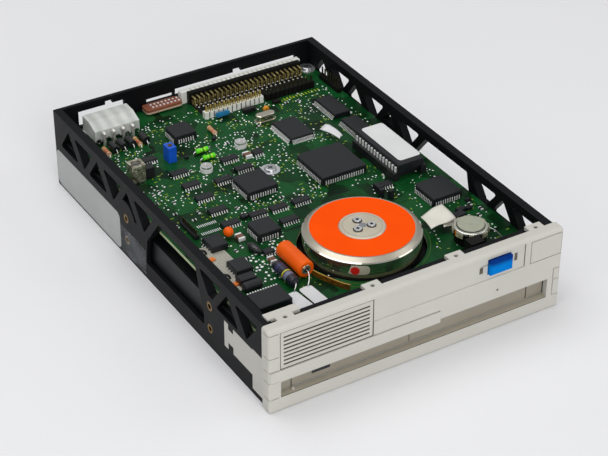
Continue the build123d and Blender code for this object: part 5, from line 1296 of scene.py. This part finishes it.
def cup_patch(name, columns, low_lift, high_lift, finish):
    """A closed paper patch on the side of the cup. A column is a distance along the rim from the red dot's
    middle, then its low and high edge above the same middle. Sizes in millimetres."""
    sections = []
    for along, low, high in columns:
        angle = dot_angle + along / can_side
        edges = ((low_lift, low), (high_lift, low), (high_lift, high), (low_lift, high))
        sections.append([spot(motor_x + (can_side + lift) * math.cos(angle),
                              motor_y + (can_side + lift) * math.sin(angle), dot_z + rise)
                         for lift, rise in edges])
    return sectioned_piece(name, [sections], finish, "rotor")


# The dot is plain red paper. The label beside it is a smooth pearly paper.
red_paper = surface("red_dot_paper", "#C81414", "#DE1E1A", 0.45, blotch_mm=4, grain_mm=0.4,
                    grain_depth_mm=0.006)
pearl_paper = surface("pearly_label_paper", "#B5AF9B", "#CBC6B4", 0.34, blotch_mm=5, grain_mm=0.5,
                      grain_depth_mm=0.01)
dot_angles = [math.radians(15 * step) for step in range(12, -1, -1)]
cup_patch("red_dot", [(dot_radius * math.cos(a), -dot_radius * math.sin(a) - 0.01,
                       dot_radius * math.sin(a) + 0.01) for a in dot_angles], 0.09, 0.15, red_paper)
cup_patch("side_label", [(-3.0, -1.6, -1.5), (-2.4, -1.7, 0.6), (-1.6, -1.8, 2.6), (0.0, -1.9, 2.7),
                         (1.6, -1.9, 2.7), (3.2, -1.9, 2.7), (4.8, -1.8, 2.6), (5.8, -1.4, 2.2),
                         (6.4, -0.4, 1.4)], 0.02, 0.08, pearl_paper)
# Copper lines follow the cut-out round the motor under the mask, in a dull green-brown. Each is its
# radius and its first and last angle.
copper_half, copper_height, arc_steps = 0.14, 0.05, 24
dull_copper = surface("dull_copper_under_mask", "#35521A", "#5A7426", 0.4, blotch_mm=3, grain_mm=0.3,
                      specular=0.2)
copper_arcs = []
for radius, first_angle, last_angle in ((30.4, -62, -12), (30.8, 196, 262), (33.2, 205, 250),
                                        (29.6, -88, -66)):
    angles = [math.radians(first_angle + (last_angle - first_angle) * step / arc_steps)
              for step in range(arc_steps + 1)]
    copper_arcs.append(arc_sections((motor_x, motor_y), radius - copper_half, radius + copper_half, board_top,
                                    board_top + copper_height, angles))
sectioned_piece("copper_arcs", copper_arcs, dull_copper)

# Amber flex beside the motor
# A narrow brown polyimide strip stands on edge between the capacitor and the motor. It is a flat
# cable, clamped under the board, and a golden strip along its cut edge is a painted highlight.
flex_path = [(-28.2, 36.4), (-26.6, 31.6), (-24.6, 26.6), (-22.4, 21.8), (-20.2, 18.6)]
flex_top = board_top + 2.6
flex_amber = surface("brown_polyimide", "#2A1704", "#8A5A16", 0.22, blotch_mm=2.2, grain_mm=0.5,
                     grain_depth_mm=0.02, coat=0.3, contrast=1.8)


def upright_strip(name, path, low, high, thickness, finish):
    """A strip that stands on edge along a path seen from above. Sizes in millimetres."""
    sections = []
    for index, (x, y) in enumerate(path):
        before, after = path[max(index - 1, 0)], path[min(index + 1, len(path) - 1)]
        run, rise = after[0] - before[0], after[1] - before[1]
        length = math.hypot(run, rise)
        across_x, across_y = -rise / length * thickness / 2, run / length * thickness / 2
        sections.append([spot(x + side * across_x, y + side * across_y, z)
                         for side, z in ((-1, low), (-1, high), (1, high), (1, low))])
    return sectioned_piece(name, [sections], finish)


upright_strip("amber_flex", flex_path, board_top, flex_top, 0.3, flex_amber)
# A thin pale gold strip on top of the flex is a painted highlight where its edge catches the light.
flex_edge_highlight = surface("painted_flex_edge_highlight", "#9A6A1C", "#E2B45A", 0.3, blotch_mm=2.0, grain_mm=0.3,
                    grain_depth_mm=0.01)
upright_strip("amber_flex_edge", flex_path, flex_top, flex_top + 0.25, 0.36, flex_edge_highlight)

# Round can in the front right corner
# A black moulded body holds a crimped nickel cap: a satin disc, a notched rim painted bright as a highlight
# and bent lugs, with tinned wires to the board.
dress(matt_black, "actuator_body")
# The rolled cap is satin where it faces up. Its rim is painted bright as a painted highlight, and its side is
# painted near-black as painted shade below this height in metres.
cap_shade = 0.0349
cap_nickel, cap_tree, cap_shader = new_material("crimped_nickel_cap_painted_light")
cap_coords = add(cap_tree, "ShaderNodeTexCoord")
cap_facing = add(cap_tree, "ShaderNodeSeparateXYZ", {"Vector": cap_coords.outputs["Normal"]})
cap_flat = add(cap_tree, "ShaderNodeMath", {0: cap_facing.outputs["Z"], 1: 0.98}, operation="GREATER_THAN")
cap_cloud = add(cap_tree, "ShaderNodeTexNoise",
                {"Vector": cap_coords.outputs["Object"], "Scale": millimetres(2.2), "Detail": 3.0})
cap_height = add(cap_tree, "ShaderNodeSeparateXYZ", {"Vector": cap_coords.outputs["Object"]})
cap_upper = add(cap_tree, "ShaderNodeMath", {0: cap_height.outputs["Z"], 1: cap_shade},
                operation="GREATER_THAN")
cap_rim_light_side_shade = add(cap_tree, "ShaderNodeMix",
               {"Factor": cap_upper.outputs[0], "A": linear("#111214"), "B": linear("#CFCFCA")},
               data_type="RGBA")
cap_satin = add(cap_tree, "ShaderNodeMix",
                {"Factor": cap_cloud.outputs["Fac"], "A": linear("#A9AC98"), "B": linear("#BCBFAC")},
                data_type="RGBA")
cap_tone = add(cap_tree, "ShaderNodeMix",
               {"Factor": cap_flat.outputs[0], "A": cap_rim_light_side_shade.outputs["Result"],
                "B": cap_satin.outputs["Result"]},
               data_type="RGBA")
cap_gloss = add(cap_tree, "ShaderNodeMix", {"Factor": cap_flat.outputs[0], "A": 0.16, "B": 0.5},
                data_type="FLOAT")
cap_tree.links.new(cap_tone.outputs["Result"], cap_shader.inputs["Base Color"])
cap_tree.links.new(cap_gloss.outputs["Result"], cap_shader.inputs["Roughness"])
cap_shader.inputs["Metallic"].default_value = 0.8
dress(cap_nickel, "actuator_can")
cap_box = limits("actuator_can")
cap_x, cap_y, _ = middle(cap_box)
cap_top, cap_radius = cap_box[1][2], (cap_box[1][0] - cap_box[0][0]) / 2
# A dark ring in the groove on the cap and another in the gap under its rim are painted shade.
ring("cap_groove", (cap_x, cap_y), 6.15, 6.5, cap_top - 0.92, cap_top - 0.8, recess_dark)
ring("cap_rim_gap", (cap_x, cap_y), cap_radius - 0.05, cap_radius + 0.04, cap_top - 1.55, cap_top - 1.25,
     recess_dark)
# Eight lugs are folded down from the rim on a circle. Their lacquer has yellowed.
lug_lacquer = surface("yellowed_nickel_lug", "#8F8B6A", "#D9D6BC", 0.3, blotch_mm=1.6, grain_mm=0.3,
                      grain_depth_mm=0.01, metallic=0.4, contrast=2.0)
lugs, lug_in = shape_tree("folded_lugs", {"Circle": "Float", "Size": "Vector", "Finish": "Material"})
lug_count, lug_turned = 8, 0.3
lug_circle = add(lugs, "GeometryNodeMeshCircle", {"Vertices": lug_count, "Radius": lug_in["Circle"]})
lug_at = add(lugs, "GeometryNodeInputPosition")
lug_turn = add(lugs, "FunctionNodeAlignRotationToVector", {"Vector": lug_at.outputs[0]}, axis="X",
               pivot_axis="Z")
lug_block = add(lugs, "GeometryNodeMeshCube", {"Size": lug_in["Size"]})
lug_copies = add(lugs, "GeometryNodeInstanceOnPoints",
                 {"Points": lug_circle.outputs["Mesh"], "Instance": lug_block.outputs["Mesh"],
                  "Rotation": lug_turn.outputs[0]})
end_tree(lugs, lug_copies.outputs[0], lug_in["Finish"])
cap_lugs = grow("cap_lugs", lugs, ([(0, 0, 0)], [], []), "tin_can", Circle=(cap_radius + 0.1) / 1000,
                Size=(0.0007, 0.0034, 0.0024), Finish=lug_lacquer)
cap_lugs.data.transform(Matrix.Translation(spot(cap_x, cap_y, cap_top - 2.6))
                        @ Matrix.Rotation(lug_turned, 4, "Z"))
wires("cap_wires", [
    [(cap_x - 3.2, cap_y - 7.6, cap_top - 3.6), (cap_x - 4.2, cap_y - 9.6, cap_top - 4.2),
     (cap_x - 5.0, cap_y - 11.4, cap_top - 5.6)],
    [(cap_x + 7.4, cap_y - 3.0, cap_top - 3.2), (cap_x + 10.0, cap_y - 4.4, cap_top - 3.6),
     (cap_x + 12.6, cap_y - 6.8, board_top + 0.4)],
    [(cap_x + 3.4, cap_y + 7.6, cap_top - 3.0), (cap_x + 4.8, cap_y + 10.2, cap_top - 3.4),
     (cap_x + 5.6, cap_y + 11.4, board_top + 0.3)],
], wire_radius, bright_wire)
boxes_piece("cap_amber", [((cap_x - 7.9, cap_y - 0.6, cap_top - 2.8), (0.5, 2.0, 2.6), 4)], amber_tape,
            bevel=0.1)

# Papers and tape left on the board
# Two bare white stickers with round corners, a torn white flake by the large chip, and a curled
# cream flag between the motor and the round can.
# White vinyl is smooth and slightly cool.
sticker_paper = surface("white_vinyl_sticker", "#CFD0D1", "#DEDEDF", 0.5, blotch_mm=6, grain_mm=0.6,
                        grain_depth_mm=0.01)
for title, centre_x, centre_y, turn in (("left_sticker", -43.2, 21.8, 6.0),
                                        ("right_sticker", -35.8, 22.6, 4.0)):
    cosine, sine = math.cos(math.radians(turn)), math.sin(math.radians(turn))
    sheet_piece(title, rounded(6.4, 14.6, 1.6),
                lambda u, v, h: spot(centre_x + u * cosine - v * sine, centre_y + u * sine + v * cosine,
                                     board_top + 0.5 + 0.004 * (u * u) + 0.003 * v * v + h),
                paper_thickness, sticker_paper)
# Creped masking paper is cream, dull and a little rough.
cream_paper = surface("cream_masking_paper", "#CFCDC0", "#DEDCD1", 0.65, blotch_mm=7, grain_mm=0.4,
                      grain_depth_mm=0.02)


def curled(name, corners, lift, bow, finish, steps=10):
    """A small curled paper between four corners, bowed up across its middle, with a little thickness."""
    vertices, faces = [], []
    front_left, front_right, rear_right, rear_left = [Vector(c) for c in corners]
    for row in range(steps + 1):
        for column in range(steps + 1):
            s, t = column / steps, row / steps
            place = (front_left.lerp(front_right, s)).lerp(rear_left.lerp(rear_right, s), t)
            height = lift * math.sin(math.pi * t) + bow * math.sin(math.pi * s)
            ripple = 0.3 * math.sin(7 * s + 4 * t)
            vertices.append(spot(place.x, place.y, place.z + height + ripple))
    for row in range(steps):
        for column in range(steps):
            a = row * (steps + 1) + column
            faces.append((a, a + 1, a + steps + 2, a + steps + 1))
    piece = mesh_piece(name, vertices, faces, finish)
    shell = bmesh.new()
    shell.from_mesh(piece.data)
    bmesh.ops.solidify(shell, geom=shell.faces, thickness=paper_thickness / 1000)
    bmesh.ops.recalc_face_normals(shell, faces=shell.faces)
    for face in shell.faces:
        face.smooth = True
    shell.to_mesh(piece.data)
    shell.free()
    return on_body(piece)


curled("cream_flag", [(31.6, 33.6, 33.4), (46.1, 35.0, 33.2), (46.3, 46.7, 34.8), (32.7, 43.6, 34.0)],
       0.2, 0.3, cream_paper)
curled("flag_fold", [(38.5, 33.4, 32.0), (46.3, 34.6, 31.6), (46.2, 38.6, 33.2), (38.8, 35.0, 32.6)],
       0.2, -0.6, cream_paper, steps=6)
curled("white_flake", [(39.6, 122.6, 31.6), (42.6, 124.6, 31.6), (42.4, 136.4, 32.2), (36.2, 135.4, 31.8)],
       0.3, 0.7, sticker_paper, steps=8)

# Bezel
# The front moulding of warm grey ABS, with the louvred insert clipped in behind it. Its spark-eroded
# texture is fine and dull, and the tone drifts a little over the width.
bezel_grey = surface("warm_grey_abs", "#BFBDB5", "#C9C7BF", 0.52, blotch_mm=34, grain_mm=0.5,
                     grain_depth_mm=0.03, specular=0.35)
dress(bezel_grey, "front_bezel", "vent_grille")
# Narrow seams in the mouldings are drawn as painted shade, a soft brown-grey.
seam_shadow = surface("seam_shadow", "#403D34", "#524F45", 0.7, blotch_mm=3, grain_mm=0.4,
                      grain_depth_mm=0.01, specular=0.1)
half_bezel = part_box("front_bezel")[1].x * 1000
bezel_face = millimetre_place(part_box("vent_grille")[0])[1] - 0.3
window_left, window_right = -half_bezel + 5.3, -half_bezel + 50.7
window_low, window_high = 21.2, 40.1
slot_first, slot_pitch, slot_half, slot_inset = 23.4, 1.95, 0.46, 2.0


def face_strips(name, strips, depth, finish, thickness=0.06, body="drive"):
    """Thin strips on an upright face. A strip is left, right, low and high, all in millimetres."""
    return boxes_piece(name, [(((left + right) / 2, depth - thickness / 2, (low + high) / 2),
                               (right - left, thickness, high - low), 0)
                              for left, right, low, high in strips], finish, body)


# Dark strips in the gap round the insert and in its eight slots are painted shade, and draw them as dark
# lines.
face_strips("insert_gap", [
    (window_left, window_left + 0.45, window_low, window_high),
    (window_right - 0.45, window_right, window_low, window_high),
    (window_left, window_right, window_high - 0.42, window_high),
    (window_left, window_right, window_low, window_low + 0.4),
], bezel_face + 0.32, seam_shadow)
face_strips("louvre_slots", [
    (window_left + slot_inset, window_right - slot_inset, slot_first - slot_half + slot_pitch * step,
     slot_first + slot_half + slot_pitch * step) for step in range(8)
], bezel_face + 0.52, seam_shadow)

# Dust door
# A taupe ABS flap hangs on a pin across the slot, with a fixed piece at each end and a felt sill below.
# The mouldings are finely textured, and the felt is duller; its paler tone is painted light that makes up for
# the shade it lies in.
door_taupe = surface("taupe_abs", "#8D8678", "#9A9385", 0.5, blotch_mm=30, grain_mm=0.5, grain_depth_mm=0.03,
                     specular=0.35)
dress(door_taupe, "bay_door", "door_end_pieces")
door_face = millimetre_place(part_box("bay_door")[0])[1]
sill_felt_lightened = surface("taupe_felt_lightened", "#9E9788", "#ABA494", 0.85, blotch_mm=6, grain_mm=0.6, grain_depth_mm=0.05,
                    specular=0.1)
sill_left, sill_right, sill_thickness = -half_bezel + 5.8, half_bezel - 7.1, 0.18
sill_rows = [(door_face - 0.1, 7.70), (door_face - 1.6, 7.42), (bezel_face + 0.15, 7.12)]
sill_sections = [[spot(x, depth, rise + lift) for x, lift in (
    (sill_left, 0.0), (sill_left, sill_thickness), (sill_right, sill_thickness), (sill_right, 0.0))]
    for depth, rise in sill_rows]
sectioned_piece("door_sill", [sill_sections], sill_felt_lightened)
# A dark strip along the sill's front edge is painted shade.
boxes_piece("sill_edge", [(((sill_left + sill_right) / 2, bezel_face + 0.1, 7.16),
                           (sill_right - sill_left, 0.1, 0.3), 0)], seam_shadow)
# Dark strips of painted shade at the slot's right end, between the flap's halves and its fixed ends, and in
# its notch.
seam_thickness = 0.04
face_strips("slot_end_shadow", [(67.0, 67.5, 8.3, 16.9)], door_face - 0.02, recess_dark,
            thickness=seam_thickness)
face_strips("door_seams", [(-3.92, -3.68, 8.6, 15.2)], door_face - 0.02, seam_shadow,
            thickness=seam_thickness, body="bay_door")
face_strips("end_piece_seams", [(-62.54, -62.32, 8.4, 15.2), (58.22, 58.44, 8.4, 15.2)], door_face + 0.18,
            seam_shadow, thickness=seam_thickness)
face_strips("door_notch_shadow", [(-52.4, -43.4, 11.1, 13.1)], door_face - 0.02, recess_dark,
            thickness=seam_thickness, body="bay_door")

# Eject button and light windows
# A moulded ABS cap slides in its opening, with two smoked acrylic windows over the lamps beside it.
# The cap is a clear glossy blue, painted darker towards its top edge as painted shade from the opening.
button_blue, button_tree, button_shader = new_material("blue_abs")
button_place = add(button_tree, "ShaderNodeTexCoord").outputs["Object"]
button_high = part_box("eject_button")[1]
button_axes = add(button_tree, "ShaderNodeSeparateXYZ", {"Vector": button_place})
button_cloud = add(button_tree, "ShaderNodeTexNoise", {"Vector": button_place, "Scale": millimetres(4.0),
                                                       "Detail": 2.0})
shade_from, shade_to = 0.0032, 0.0008
button_top_shade = add(button_tree, "ShaderNodeMapRange",
                  {"Value": button_axes.outputs["Z"], "From Min": button_high.z - shade_from,
                   "From Max": button_high.z - shade_to})
button_blues = add(button_tree, "ShaderNodeMix",
                   {"Factor": button_cloud.outputs["Fac"], "A": linear("#006EC2"), "B": linear("#0080D4")},
                   data_type="RGBA")
button_tone = add(button_tree, "ShaderNodeMix",
                  {"Factor": button_top_shade.outputs["Result"], "A": button_blues.outputs["Result"],
                   "B": linear("#08337C")},
                  data_type="RGBA")
button_tree.links.new(button_tone.outputs["Result"], button_shader.inputs["Base Color"])
button_shader.inputs["Roughness"].default_value = 0.3
button_shader.inputs["Specular IOR Level"].default_value = 0.02
dress(button_blue, "eject_button")
# Smoked acrylic is brown-grey and shiny.
smoke_acrylic = surface("smoked_acrylic", "#4A473A", "#5F5B4C", 0.2, blotch_mm=3, grain_mm=0.5,
                        grain_depth_mm=0.005)
dress(smoke_acrylic, "light_pipes", "indicator_lamps")
# A thin moulded line joins the left window to the button.
face_strips("window_line", [(30.2, 34.6, 36.4, 36.6), (30.2, 30.4, 33.9, 36.4)], bezel_face, seam_shadow,
            thickness=0.03)
# Dark strips and discs are painted shade at the panel's right edge, in the pinhole and in the four holes in
# the rear tabs.
face_strips("panel_edge_shadow", [(53.75, 54.0, 28.7, 40.2)], bezel_face + 0.36, seam_shadow,
            thickness=seam_thickness)
shadow_disc = 0.05
disc("pinhole_shadow", (40.0, bezel_face + 0.5, 21.2), 0.55, shadow_disc, recess_dark,
     towards=(0, -1, 0), sides=16)
for index, hole_x in enumerate((-62.9, -20.7, 21.5, 63.7)):
    disc(f"tab_hole_shadow_{index}", (hole_x, 1.0, 41.2), 0.95, shadow_disc, recess_dark,
         sides=16)
